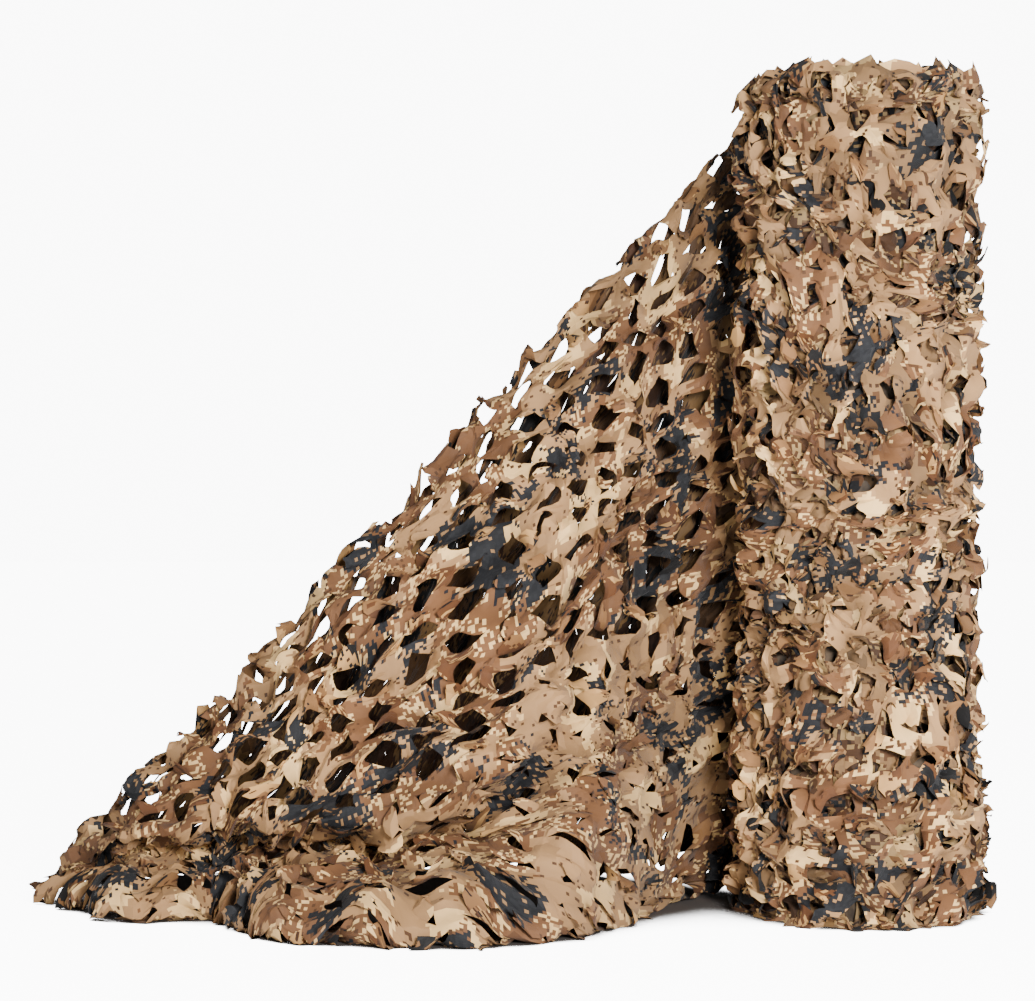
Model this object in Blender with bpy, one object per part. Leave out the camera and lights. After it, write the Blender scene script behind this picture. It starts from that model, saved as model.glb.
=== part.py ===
"""Camouflage netting: a roll that stands on its end, with its loose end draped to the floor.

The net is a leaf-cut web folded double along its length, so the loose end is a low tent: a front layer, a
ridge along the fold, and a back layer. Units are metres and +Z is up. The origin is on the floor, on the
roll's axis. The loose end runs towards -X, and its front layer falls towards -Y.
"""
import math

import bmesh
import bpy
import numpy as np

# Driving dimensions of the roll
ROLL_HEIGHT = 1.490
ROLL_RADIUS = 0.207
ROLL_SIDES = 40
LAP_STEP = 0.014
LAP_ANGLE = math.radians(100.0)
LAP_SLANT = math.radians(0.3)
LAP_CALM_ANGLE = math.radians(38.0)
LUMP_DEPTH = 0.005
TOP_DISH = 0.018
TOP_RINGS = (0.80, 0.45)

# The roll's side, from the floor up: how far each height swells out from the radius, or draws in
ROLL_PROFILE_COLUMNS = ("height", "swell")
ROLL_PROFILE = (
    (0.000, 0.008),
    (0.035, 0.016),
    (0.140, 0.015),
    (0.280, 0.008),
    (0.450, 0.001),
    (0.620, -0.004),
    (0.800, -0.002),
    (0.960, 0.002),
    (1.120, -0.003),
    (1.280, 0.000),
    (1.400, 0.004),
    (1.465, 0.002),
    (ROLL_HEIGHT, -0.010),
)

# Driving dimensions of the loose end
SHEET_THICKNESS = 0.002
SEAT_GAP = 0.0005
SEAT_DEPTH = 0.006
LAYER_GAP = 0.007
FINE_COLUMNS_END = 0.50
FINE_COLUMN = 0.029
COLUMN = 0.062
NECK_DROP = 0.040
NECK_LIMIT = 0.15
HANG_CURVE = 1.30
HEEL_SHARE = 0.95
TURN_REACH = 0.020

# The sheet's unevenness: hanging folds beside the roll, folds of the puddle, and a slow sway
FOLD_PITCH = 0.088
FOLD_DEPTH = 0.014
FOLD_RUNS = (0.08, 0.22, 0.46, 0.70)
FOLD_FADE_HEIGHTS = (0.55, 1.05)
PUDDLE_PITCH = 0.190
PUDDLE_DEPTH = 0.013
PUDDLE_RISE = 0.55
PUDDLE_RUNS = (0.45, 0.75, 1.80, 2.02)
PUDDLE_TOP = (0.16, 0.34)
SWAY_DEPTH = 0.008
SWAY_RUNS = (0.25, 0.60, 1.75, 2.00)
RIDGE_CALM = (0.03, 0.35)
FLOOR_CALM = 0.05

# Gaps of the leaf-cut web, cut through the tented faces at under twice the web's own pitch
GAP_LENGTH = 0.056
GAP_WIDTH = 0.024
GAP_CELL_SHARE = 0.72
GAP_LEAST_SHARE = 0.6

# A row for each station along the loose end. run is the distance from the roll. The ridge has its place,
# height and the radius of its fold. edge is where the front layer reaches furthest over the floor. lip,
# tuck and swell say how far from the ridge (0) to the edge (1) each fold of the front layer lies. under is
# how far the front layer runs back beneath itself. back is where the back layer meets the floor, and
# back_run is how far it lies on the floor from there.
STATION_COLUMNS = (
    "run", "ridge_x", "ridge_y", "ridge_z", "ridge_r", "edge_x", "edge_y",
    "lip", "lip_z", "tuck", "drop", "swell", "swell_z", "edge_z", "turn_z", "under",
    "back_x", "back_y", "foot_z", "back_run",
)
START_X = (ROLL_RADIUS - SEAT_DEPTH) * math.cos(LAP_ANGLE) - SEAT_GAP * math.sin(LAP_ANGLE)
START_Y = (ROLL_RADIUS - SEAT_DEPTH) * math.sin(LAP_ANGLE) + SEAT_GAP * math.cos(LAP_ANGLE)
HALF_GAP_X = LAYER_GAP / 2 * math.cos(LAP_ANGLE)
HALF_GAP_Y = LAYER_GAP / 2 * math.sin(LAP_ANGLE)
STRAIGHT_RUN = 0.08
STRAIGHT_X = START_X - STRAIGHT_RUN * math.sin(LAP_ANGLE)
STRAIGHT_Y = START_Y + STRAIGHT_RUN * math.cos(LAP_ANGLE)
STATIONS = (
    (0.00, START_X, START_Y, 1.482, 0.0035, START_X - HALF_GAP_X, START_Y - HALF_GAP_Y,
     1.00, 0.50, 1.00, 0.08, 1.00, 0.22, 0.10, 0.040, 0.00,
     START_X + HALF_GAP_X, START_Y + HALF_GAP_Y, 0.10, 0.00),
    (STRAIGHT_RUN, STRAIGHT_X, STRAIGHT_Y, 1.458, 0.0045, STRAIGHT_X - HALF_GAP_X, STRAIGHT_Y - HALF_GAP_Y,
     0.95, 0.50, 0.95, 0.08, 1.00, 0.22, 0.10, 0.040, 0.00,
     STRAIGHT_X + 2.5 * HALF_GAP_X, STRAIGHT_Y + 2.5 * HALF_GAP_Y, 0.08, 0.01),
    (0.20, -0.229, 0.165, 1.400, 0.006, -0.224, 0.146,
     0.80, 0.50, 0.85, 0.08, 0.95, 0.22, 0.09, 0.030, 0.01,
     -0.248, 0.235, 0.05, 0.03),
    (0.42, -0.368, 0.150, 1.237, 0.010, -0.353, -0.008,
     0.52, 0.47, 0.55, 0.08, 0.90, 0.22, 0.07, 0.001, 0.08,
     -0.400, 0.340, 0.03, 0.06),
    (0.63, -0.507, 0.136, 1.090, 0.014, -0.433, -0.209,
     0.56, 0.44, 0.53, 0.07, 0.93, 0.21, 0.06, 0.001, 0.14,
     -0.530, 0.395, 0.02, 0.08),
    (0.77, -0.602, 0.126, 0.985, 0.016, -0.516, -0.319,
     0.58, 0.37, 0.47, 0.07, 0.92, 0.17, 0.05, 0.001, 0.18,
     -0.640, 0.425, 0.02, 0.09),
    (0.99, -0.750, 0.112, 0.820, 0.018, -0.725, -0.410,
     0.60, 0.21, 0.36, 0.06, 0.87, 0.10, 0.030, 0.001, 0.24,
     -0.790, 0.450, 0.02, 0.10),
    (1.14, -0.853, 0.102, 0.705, 0.020, -0.871, -0.398,
     0.59, 0.175, 0.25, 0.055, 0.85, 0.085, 0.028, 0.001, 0.26,
     -0.900, 0.450, 0.02, 0.10),
    (1.28, -0.948, 0.092, 0.600, 0.022, -0.998, -0.365,
     0.56, 0.175, 0.18, 0.055, 0.83, 0.080, 0.026, 0.001, 0.26,
     -1.000, 0.440, 0.02, 0.10),
    (1.39, -1.022, 0.087, 0.522, 0.024, -1.068, -0.298,
     0.57, 0.175, 0.14, 0.055, 0.82, 0.078, 0.025, 0.001, 0.24,
     -1.090, 0.425, 0.02, 0.10),
    (1.60, -1.165, 0.080, 0.375, 0.026, -1.155, -0.125,
     0.82, 0.165, 0.18, 0.050, 0.82, 0.072, 0.024, 0.001, 0.12,
     -1.240, 0.385, 0.02, 0.09),
    (1.79, -1.294, 0.085, 0.242, 0.026, -1.300, -0.158,
     0.62, 0.145, 0.15, 0.045, 0.82, 0.064, 0.022, 0.001, 0.13,
     -1.380, 0.335, 0.02, 0.08),
    (1.94, -1.392, 0.105, 0.145, 0.022, -1.427, -0.008,
     0.62, 0.100, 0.35, 0.035, 0.82, 0.046, 0.018, 0.001, 0.08,
     -1.460, 0.280, 0.015, 0.06),
    (2.05, -1.465, 0.140, 0.056, 0.012, -1.492, 0.080,
     0.42, 0.044, 0.58, 0.009, 0.84, 0.026, 0.013, 0.001, 0.04,
     -1.505, 0.215, 0.010, 0.03),
)

# The points of one section, from the back layer's end to the front layer's end, and the cells to the next
SECTION_POINTS = (
    "back_end", "back_foot", "back_heel", "back_low", "back_high", "back_neck", "back_shoulder", "ridge",
    "front_shoulder", "front_neck", "face_high", "face_low", "lip", "tuck", "swell", "edge", "turn",
    "front_end",
)
SPAN_CELLS = (1, 1, 2, 3, 3, 1, 1, 1, 1, 3, 4, 4, 3, 3, 2, 2, 1)
BACK_GAP_SPANS = (2, 3, 4)
FRONT_GAP_SPANS = (9, 10, 11)

TAN = (0.46, 0.33, 0.20, 1.0)
BROWN = (0.33, 0.22, 0.13, 1.0)


def clear_scene():
    """Remove every object that the file starts with."""
    for scene_object in list(bpy.data.objects):
        bpy.data.objects.remove(scene_object, do_unlink=True)


def fabric(name, colour):
    """Return a matt cloth material of one colour."""
    material = bpy.data.materials.new(name)
    material.use_nodes = True
    shader = material.node_tree.nodes["Principled BSDF"]
    shader.inputs["Base Color"].default_value = colour
    shader.inputs["Roughness"].default_value = 0.8
    shader.inputs["Metallic"].default_value = 0.0
    return material


def ease(start, end, value):
    """Return 0 before start, 1 after end, and a smooth rise between them."""
    share = np.clip((value - start) / (end - start), 0.0, 1.0)
    return share * share * (3.0 - 2.0 * share)


def read_smoothly(table, columns, name, value):
    """Return a column of a table at a value of its first column, on a curve that never overshoots."""
    places = np.array([row[0] for row in table])
    heights = np.array([row[columns.index(name)] for row in table])
    steps = np.diff(places)
    slopes = np.diff(heights) / steps
    tangents = np.zeros(len(places))
    tangents[0] = slopes[0]
    tangents[-1] = slopes[-1]
    for index in range(1, len(places) - 1):
        before, after = slopes[index - 1], slopes[index]
        if before * after > 0.0:
            tangents[index] = 2.0 * before * after / (before + after)
    index = int(np.clip(np.searchsorted(places, value) - 1, 0, len(steps) - 1))
    share = (value - places[index]) / steps[index]
    square = share * share
    cube = square * share
    return (
        (2 * cube - 3 * square + 1) * heights[index]
        + (cube - 2 * square + share) * steps[index] * tangents[index]
        + (3 * square - 2 * cube) * heights[index + 1]
        + (cube - square) * steps[index] * tangents[index + 1]
    )


def station_at(run):
    """Return the named sizes of the loose end's section at one distance from the roll."""
    return {name: read_smoothly(STATIONS, STATION_COLUMNS, name, run) for name in STATION_COLUMNS[1:]}


def section_points(run):
    """Return the corner points of the section at one distance from the roll, in SECTION_POINTS' order."""
    at = station_at(run)
    ridge = np.array((at["ridge_x"], at["ridge_y"]))
    to_edge = np.array((at["edge_x"], at["edge_y"])) - ridge
    to_back = np.array((at["back_x"], at["back_y"])) - ridge
    edge_reach = np.linalg.norm(to_edge)
    back_reach = np.linalg.norm(to_back)
    forward = to_edge / edge_reach
    backward = to_back / back_reach
    floor_z = SHEET_THICKNESS / 2
    radius = at["ridge_r"]
    shoulder_z = at["ridge_z"] - radius
    heel_z = 2.0 * at["foot_z"]
    lip_z = at["lip_z"]
    neck = min(NECK_DROP / max(shoulder_z - lip_z, NECK_DROP), NECK_LIMIT)

    def front(share, height):
        """Return a point over the line from the ridge (0) to the front edge (1)."""
        return np.append(ridge + share * to_edge, height)

    def front_face(fall):
        """Return a point of the front face, between its shoulder (0) and the lip (1)."""
        start = radius / edge_reach
        share = start + (at["lip"] - start) * fall ** HANG_CURVE
        return front(share, shoulder_z + (lip_z - shoulder_z) * fall)

    def back_face(fall):
        """Return a point of the back face, between its shoulder (0) and the heel (1)."""
        start = radius / back_reach
        share = start + (HEEL_SHARE - start) * fall ** HANG_CURVE
        return np.append(ridge + share * to_back, shoulder_z + (heel_z + floor_z - shoulder_z) * fall)

    edge = ridge + to_edge
    turn = edge - forward * min(TURN_REACH, at["under"])
    return np.array((
        np.append(ridge + to_back + backward * at["back_run"], floor_z),
        np.append(ridge + to_back, at["foot_z"] / 2 + floor_z),
        back_face(1.0),
        back_face(2.0 / 3.0),
        back_face(1.0 / 3.0),
        back_face(neck),
        np.append(ridge + backward * radius, shoulder_z),
        np.append(ridge, at["ridge_z"]),
        np.append(ridge + forward * radius, shoulder_z),
        front_face(neck),
        front_face(1.0 / 3.0),
        front_face(2.0 / 3.0),
        front(at["lip"], lip_z),
        front(at["tuck"], lip_z - at["drop"]),
        front(at["swell"], at["swell_z"]),
        front(1.0, at["edge_z"]),
        np.append(turn, max(at["turn_z"], floor_z)),
        np.append(edge - forward * at["under"], floor_z),
    ))


def smooth_path(points, cells):
    """Return points on a smooth curve through the given ones, with so many cells in each span."""
    first = 2 * points[0] - points[1]
    last = 2 * points[-1] - points[-2]
    padded = np.vstack((first, points, last))
    path = []
    for span, count in enumerate(cells):
        p0, p1, p2, p3 = padded[span:span + 4]
        t0 = 0.0
        t1 = t0 + math.sqrt(np.linalg.norm(p1 - p0))
        t2 = t1 + math.sqrt(np.linalg.norm(p2 - p1))
        t3 = t2 + math.sqrt(np.linalg.norm(p3 - p2))
        for step in range(count):
            t = t1 + (t2 - t1) * step / count
            a1 = (t1 - t) / (t1 - t0) * p0 + (t - t0) / (t1 - t0) * p1
            a2 = (t2 - t) / (t2 - t1) * p1 + (t - t1) / (t2 - t1) * p2
            a3 = (t3 - t) / (t3 - t2) * p2 + (t - t2) / (t3 - t2) * p3
            b1 = (t2 - t) / (t2 - t0) * a1 + (t - t0) / (t2 - t0) * a2
            b2 = (t3 - t) / (t3 - t1) * a2 + (t - t1) / (t3 - t1) * a3
            path.append((t2 - t) / (t2 - t1) * b1 + (t - t1) / (t2 - t1) * b2)
    path.append(points[-1])
    return np.array(path)


def between(spans, value):
    """Return 0 outside a range, 1 inside it, and smooth rises and falls where it starts and ends."""
    return ease(spans[0], spans[1], value) * (1.0 - ease(spans[2], spans[3], value))


def folded(point, run):
    """Return a point of the plain sheet moved by the hanging folds, the puddle's folds and a slow sway."""
    x, y, z = point
    floor_z = SHEET_THICKNESS / 2
    turn = 2 * math.pi * run
    below_ridge = ease(*RIDGE_CALM, read_smoothly(STATIONS, STATION_COLUMNS, "ridge_z", run) - z)
    hanging = between(FOLD_RUNS, run) * below_ridge * (1.0 - 0.75 * ease(*FOLD_FADE_HEIGHTS, z))
    hanging_wave = math.sin(turn / FOLD_PITCH + 2.0 * math.sin(2.6 * z) + 1.5 * math.sin(9.0 * run))
    low = between(PUDDLE_RUNS, run) * (1.0 - ease(*PUDDLE_TOP, z)) * ease(floor_z, FLOOR_CALM, z)
    puddle_wave = math.sin(turn / PUDDLE_PITCH + 7.3 * y + 0.9)
    rising_wave = math.sin(turn / (1.37 * PUDDLE_PITCH) + 2.1)
    swaying = between(SWAY_RUNS, run) * below_ridge
    slow_wave = math.sin(7.3 * run + 2.0) * math.cos(4.1 * z + 2.7 * run)
    y += FOLD_DEPTH * hanging * hanging_wave
    y += PUDDLE_DEPTH * low * puddle_wave + SWAY_DEPTH * swaying * slow_wave
    z += PUDDLE_RISE * PUDDLE_DEPTH * low * rising_wave
    return (x, y, max(z, floor_z))


def column_runs():
    """Return the distances from the roll of the mesh's columns, closer together in the hanging folds."""
    fine = round(FINE_COLUMNS_END / FINE_COLUMN)
    length = STATIONS[-1][0]
    wide = round((length - FINE_COLUMNS_END) / COLUMN)
    near = np.linspace(0.0, FINE_COLUMNS_END, fine + 1)
    far = np.linspace(FINE_COLUMNS_END, length, wide + 1)
    return np.concatenate((near, far[1:]))


def gap_corners(corners, upright):
    """Return the four tips of a lens-shaped gap in a cell, or nothing where the cell is too small."""
    centre = corners.mean(axis=0)
    along = (corners[1] + corners[2] - corners[0] - corners[3]) / 2
    across = (corners[2] + corners[3] - corners[0] - corners[1]) / 2
    along_size = np.linalg.norm(along)
    across_size = np.linalg.norm(across)
    wanted = (GAP_WIDTH, GAP_LENGTH) if upright else (GAP_LENGTH, GAP_WIDTH)
    along_gap = min(wanted[0], GAP_CELL_SHARE * along_size)
    across_gap = min(wanted[1], GAP_CELL_SHARE * across_size)
    if min(along_gap, across_gap) < GAP_LEAST_SHARE * GAP_WIDTH:
        return None
    if max(along_gap, across_gap) < GAP_LEAST_SHARE * GAP_LENGTH:
        return None
    along_half = along / along_size * along_gap / 2
    across_half = across / across_size * across_gap / 2
    return [centre - across_half, centre + along_half, centre + across_half, centre - along_half]


def cell_takes_gap(column, row, spans):
    """Return whether a cell holds a gap: every second cell of the front layer, every fourth of the back."""
    if spans[row] in FRONT_GAP_SPANS:
        return (column + row) % 2 == 0
    return spans[row] in BACK_GAP_SPANS and (column + 2 * row) % 4 == 0


def make_loose_end(material):
    """Make the draped end: a grid over its sections, with the web's gaps, thickened to a sheet."""
    runs = column_runs()
    spans = [span for span, count in enumerate(SPAN_CELLS) for _ in range(count)]
    sections = [
        [folded(point, run) for point in smooth_path(section_points(run), SPAN_CELLS)]
        for run in runs
    ]
    mesh = bmesh.new()
    grid = [[mesh.verts.new(point) for point in section] for section in sections]
    for column in range(len(runs) - 1):
        for row in range(len(spans)):
            corners = (grid[column][row], grid[column + 1][row],
                       grid[column + 1][row + 1], grid[column][row + 1])
            tips = None
            if cell_takes_gap(column, row, spans):
                places = np.array([corner.co[:] for corner in corners])
                tips = gap_corners(places, runs[column] < FINE_COLUMNS_END or (column // 2 + row) % 2 == 0)
            if tips is None:
                mesh.faces.new(corners)
                continue
            tip_verts = [mesh.verts.new(tip) for tip in tips]
            for side in range(4):
                following = (side + 1) % 4
                mesh.faces.new((corners[side], corners[following], tip_verts[side]))
                mesh.faces.new((corners[following], tip_verts[following], tip_verts[side]))
    return finish_mesh(mesh, "loose_end", material, SHEET_THICKNESS)


def roll_radius(angle, height):
    """Return the roll's radius, which gains one lap's thickness over a turn and steps back at the lap."""
    turn = ((angle - LAP_ANGLE) / (2 * math.pi)) % 1.0
    past_lap = (angle - LAP_ANGLE + math.pi) % (2 * math.pi) - math.pi
    free = 1.0 - math.exp(-(past_lap / LAP_CALM_ANGLE) ** 2)
    swell = read_smoothly(ROLL_PROFILE, ROLL_PROFILE_COLUMNS, "swell", height)
    lumps = math.sin(3 * angle + 5.1 * height) * math.sin(2 * angle - 7.7 * height + 1.0)
    furrows = 0.4 * math.sin(7 * angle + 2.3 * math.sin(4.0 * height))
    return ROLL_RADIUS - LAP_STEP * (1.0 - turn) + free * (swell + LUMP_DEPTH * (lumps + furrows))


def roll_ring(height, share=1.0, dish=0.0):
    """Return the points of the roll's outline at one height, with both corners of the lap's step."""
    points = []
    for side in range(ROLL_SIDES + 1):
        angle = LAP_ANGLE + 2 * math.pi * side / ROLL_SIDES
        if side == ROLL_SIDES:
            angle -= LAP_SLANT
        radius = share * roll_radius(angle, height)
        points.append((radius * math.cos(angle), radius * math.sin(angle), height - dish))
    return points


def make_rolled_net(material):
    """Make the wound roll as one solid, with its lap's step, its uneven side and a dished top."""
    mesh = bmesh.new()
    rings = [roll_ring(row[0]) for row in ROLL_PROFILE]
    top = ROLL_PROFILE[-1][0]
    rings += [roll_ring(top, share, TOP_DISH * (1.0 - share)) for share in TOP_RINGS]
    levels = [[mesh.verts.new(point) for point in ring] for ring in rings]
    count = ROLL_SIDES + 1
    for lower, upper in zip(levels, levels[1:]):
        for side in range(count):
            following = (side + 1) % count
            mesh.faces.new((lower[side], lower[following], upper[following], upper[side]))
    peak = mesh.verts.new((0.0, 0.0, top - TOP_DISH))
    for side in range(count):
        mesh.faces.new((levels[-1][side], levels[-1][(side + 1) % count], peak))
    mesh.faces.new(list(reversed(levels[0])))
    return finish_mesh(mesh, "rolled_net", material)


def finish_mesh(mesh, name, material, thickness=0.0):
    """Return a named object for a finished mesh, thickened to a sheet where a thickness is given."""
    bmesh.ops.recalc_face_normals(mesh, faces=mesh.faces)
    data = bpy.data.meshes.new(name)
    mesh.to_mesh(data)
    mesh.free()
    data.materials.append(material)
    data.shade_smooth()
    data.set_sharp_from_angle(angle=math.radians(40.0))
    piece = bpy.data.objects.new(name, data)
    bpy.context.collection.objects.link(piece)
    if thickness:
        solid = piece.modifiers.new("Thickness", "SOLIDIFY")
        solid.thickness = thickness
        solid.offset = 0.0
        solid.use_rim = True
    return piece


def main():
    """Build both pieces of the netting."""
    clear_scene()
    make_rolled_net(fabric("rolled_web", TAN))
    make_loose_end(fabric("draped_web", BROWN))


main()
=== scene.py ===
"""Camouflage netting: the dressed model of a standing roll and its loose end draped to the floor.

The solids are the fixed frame. Each visible piece is a leaf-cut web: a cloth with rows of curved cuts that
open into lens-shaped gaps, each with its cut tongue bent out as a leaf. The web is laid over a smooth
surface that follows the solid's own named sizes, with shallower folds in the puddled foot.
"""
from __future__ import annotations

import logging
import math
from dataclasses import dataclass, field
from enum import Enum
from functools import cache
from typing import Callable, NamedTuple

import bpy
import numpy as np
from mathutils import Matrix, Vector


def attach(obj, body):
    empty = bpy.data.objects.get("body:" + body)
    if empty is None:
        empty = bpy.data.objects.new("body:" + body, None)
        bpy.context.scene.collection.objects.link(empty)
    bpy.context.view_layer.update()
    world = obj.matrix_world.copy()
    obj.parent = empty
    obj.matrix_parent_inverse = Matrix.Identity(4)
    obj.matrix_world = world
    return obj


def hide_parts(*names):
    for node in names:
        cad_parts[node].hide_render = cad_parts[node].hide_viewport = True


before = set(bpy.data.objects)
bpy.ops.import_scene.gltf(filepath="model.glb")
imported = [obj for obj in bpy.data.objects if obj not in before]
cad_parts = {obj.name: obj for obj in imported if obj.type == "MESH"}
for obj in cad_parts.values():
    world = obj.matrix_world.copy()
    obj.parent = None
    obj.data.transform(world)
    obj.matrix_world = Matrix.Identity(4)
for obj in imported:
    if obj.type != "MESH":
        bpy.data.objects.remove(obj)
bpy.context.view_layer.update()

LOG = logging.getLogger("camouflage_netting")
Array = np.ndarray
Socket = bpy.types.NodeSocket
Object = bpy.types.Object

# Sizes of the roll and of its loose end, in metres
ROLL_HEIGHT = 1.490
ROLL_RADIUS = 0.207
LAP_ANGLE = math.radians(100.0)
LAP_CALM_ANGLE = math.radians(38.0)
LUMP_DEPTH = 0.005
ROLL_PROFILE = (
    (0.000, 0.008), (0.035, 0.016), (0.140, 0.015), (0.280, 0.008), (0.450, 0.001), (0.620, -0.004),
    (0.800, -0.002), (0.960, 0.002), (1.120, -0.003), (1.280, 0.000), (1.400, 0.004), (1.465, 0.002),
    (ROLL_HEIGHT, -0.010),
)
SHEET_THICKNESS = 0.002
SEAT_GAP = 0.0005
SEAT_DEPTH = 0.006
LAYER_GAP = 0.007
NECK_DROP = 0.040
NECK_LIMIT = 0.15
HANG_CURVE = 1.30
HEEL_SHARE = 0.95
TURN_REACH = 0.020
FOLD_PITCH = 0.088
FOLD_DEPTH = 0.014
FOLD_RUNS = (0.08, 0.22, 0.46, 0.70)
FOLD_FADE = 0.75
FOLD_FADE_HEIGHTS = (0.55, 1.05)
PUDDLE_PITCH = 0.190
PUDDLE_DEPTH = 0.010
PUDDLE_RISE = 0.35
PUDDLE_RUNS = (0.45, 0.75, 1.80, 2.02)
PUDDLE_TOP = (0.16, 0.34)
SWAY_DEPTH = 0.008
SWAY_RUNS = (0.25, 0.60, 1.75, 2.00)
RIDGE_CALM = (0.03, 0.35)
FLOOR_CALM = 0.05
STRAIGHT_RUN = 0.08

START_X = (ROLL_RADIUS - SEAT_DEPTH) * math.cos(LAP_ANGLE) - SEAT_GAP * math.sin(LAP_ANGLE)
START_Y = (ROLL_RADIUS - SEAT_DEPTH) * math.sin(LAP_ANGLE) + SEAT_GAP * math.cos(LAP_ANGLE)
HALF_GAP_X = LAYER_GAP / 2 * math.cos(LAP_ANGLE)
HALF_GAP_Y = LAYER_GAP / 2 * math.sin(LAP_ANGLE)
STRAIGHT_X = START_X - STRAIGHT_RUN * math.sin(LAP_ANGLE)
STRAIGHT_Y = START_Y + STRAIGHT_RUN * math.cos(LAP_ANGLE)

# The flat web: its loose end unfolded, and the distance between its cuts
LOOSE_FLAT = (1.70, 3.00)
LOOSE_COLUMNS = 24
CUT_PITCH = 0.057

# The turns of the roll that can be seen
SHOWN_TURNS = 3.2
SHOWN_TURN_PITCH = 0.011
WOUND_STAND_OFF = 0.004

FLOOR_LEVEL = 0.0006


class Station(NamedTuple):
    """The sizes of the loose end's section at one distance from the roll."""

    run: float
    ridge_x: float
    ridge_y: float
    ridge_z: float
    ridge_r: float
    edge_x: float
    edge_y: float
    lip: float
    lip_z: float
    tuck: float
    drop: float
    swell: float
    swell_z: float
    edge_z: float
    turn_z: float
    under: float
    back_x: float
    back_y: float
    foot_z: float
    back_run: float


STATIONS = (
    Station(0.00, START_X, START_Y, 1.482, 0.0035, START_X - HALF_GAP_X, START_Y - HALF_GAP_Y,
            1.00, 0.50, 1.00, 0.08, 1.00, 0.22, 0.10, 0.040, 0.00,
            START_X + HALF_GAP_X, START_Y + HALF_GAP_Y, 0.10, 0.00),
    Station(STRAIGHT_RUN, STRAIGHT_X, STRAIGHT_Y, 1.458, 0.0045, STRAIGHT_X - HALF_GAP_X,
            STRAIGHT_Y - HALF_GAP_Y, 0.95, 0.50, 0.95, 0.08, 1.00, 0.22, 0.10, 0.040, 0.00,
            STRAIGHT_X + 2.5 * HALF_GAP_X, STRAIGHT_Y + 2.5 * HALF_GAP_Y, 0.08, 0.01),
    Station(0.20, -0.229, 0.165, 1.400, 0.006, -0.224, 0.146,
            0.80, 0.50, 0.85, 0.08, 0.95, 0.22, 0.09, 0.030, 0.01, -0.248, 0.235, 0.05, 0.03),
    Station(0.42, -0.368, 0.150, 1.237, 0.010, -0.353, -0.008,
            0.52, 0.47, 0.55, 0.08, 0.90, 0.22, 0.07, 0.001, 0.08, -0.400, 0.340, 0.03, 0.06),
    Station(0.63, -0.507, 0.136, 1.090, 0.014, -0.433, -0.209,
            0.56, 0.44, 0.53, 0.07, 0.93, 0.21, 0.06, 0.001, 0.14, -0.530, 0.395, 0.02, 0.08),
    Station(0.77, -0.602, 0.126, 0.985, 0.016, -0.516, -0.319,
            0.58, 0.37, 0.47, 0.07, 0.92, 0.17, 0.05, 0.001, 0.18, -0.640, 0.425, 0.02, 0.09),
    Station(0.99, -0.750, 0.112, 0.820, 0.018, -0.725, -0.410,
            0.60, 0.21, 0.36, 0.06, 0.87, 0.10, 0.030, 0.001, 0.24, -0.790, 0.450, 0.02, 0.10),
    Station(1.14, -0.853, 0.102, 0.705, 0.020, -0.871, -0.398,
            0.59, 0.175, 0.25, 0.055, 0.85, 0.085, 0.028, 0.001, 0.26, -0.900, 0.450, 0.02, 0.10),
    Station(1.28, -0.948, 0.092, 0.600, 0.022, -0.998, -0.365,
            0.56, 0.175, 0.18, 0.055, 0.83, 0.080, 0.026, 0.001, 0.26, -1.000, 0.440, 0.02, 0.10),
    Station(1.39, -1.022, 0.087, 0.522, 0.024, -1.068, -0.298,
            0.57, 0.175, 0.14, 0.055, 0.82, 0.078, 0.025, 0.001, 0.24, -1.090, 0.425, 0.02, 0.10),
    Station(1.60, -1.165, 0.080, 0.375, 0.026, -1.155, -0.125,
            0.82, 0.165, 0.18, 0.050, 0.82, 0.072, 0.024, 0.001, 0.12, -1.240, 0.385, 0.02, 0.09),
    Station(1.79, -1.294, 0.085, 0.242, 0.026, -1.300, -0.158,
            0.62, 0.145, 0.15, 0.045, 0.82, 0.064, 0.022, 0.001, 0.13, -1.380, 0.335, 0.02, 0.08),
    Station(1.94, -1.392, 0.105, 0.145, 0.022, -1.427, -0.008,
            0.62, 0.100, 0.35, 0.035, 0.82, 0.046, 0.018, 0.001, 0.08, -1.460, 0.280, 0.015, 0.06),
    Station(2.05, -1.465, 0.140, 0.056, 0.012, -1.492, 0.080,
            0.42, 0.044, 0.58, 0.009, 0.84, 0.026, 0.013, 0.001, 0.04, -1.505, 0.215, 0.010, 0.03),
)
RIDGE_POINT = 7
RUN_SAMPLES = 1200

# The height at which the front layer's hanging part ends, by distance from the roll
LIP_RUNS = (0.2, 0.63, 0.99, 1.3, 2.05)
LIP_HEIGHTS = (0.50, 0.44, 0.21, 0.17, 0.05)
SPAN_SAMPLES = (4, 3, 3, 10, 10, 6, 4, 4, 6, 10, 12, 12, 12, 12, 8, 6, 8)


class Piece(Enum):
    """The visible pieces of the netting."""

    DRAPED = "loose_end_web"
    WOUND = "rolled_web"
    TURN_EDGES = "turn_edges"
    INSIDE = "roll_inside"


def ease(start: float, end: float, value: Array) -> Array:
    """Rise smoothly from 0 to 1.

    Args:
        start: The value up to which the result is 0.
        end: The value from which the result is 1.
        value: Where to read the rise.

    Returns:
        The share risen, from 0 to 1.
    """
    share = np.clip((value - start) / (end - start), 0.0, 1.0)
    return share * share * (3.0 - 2.0 * share)


def between(spans: tuple, value: Array) -> Array:
    """Rise to 1 inside a range and fall back to 0 past it.

    Args:
        spans: Where the rise starts and ends, and where the fall starts and ends.
        value: Where to read the result.

    Returns:
        The share, from 0 to 1.
    """
    return ease(spans[0], spans[1], value) * (1.0 - ease(spans[2], spans[3], value))


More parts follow.
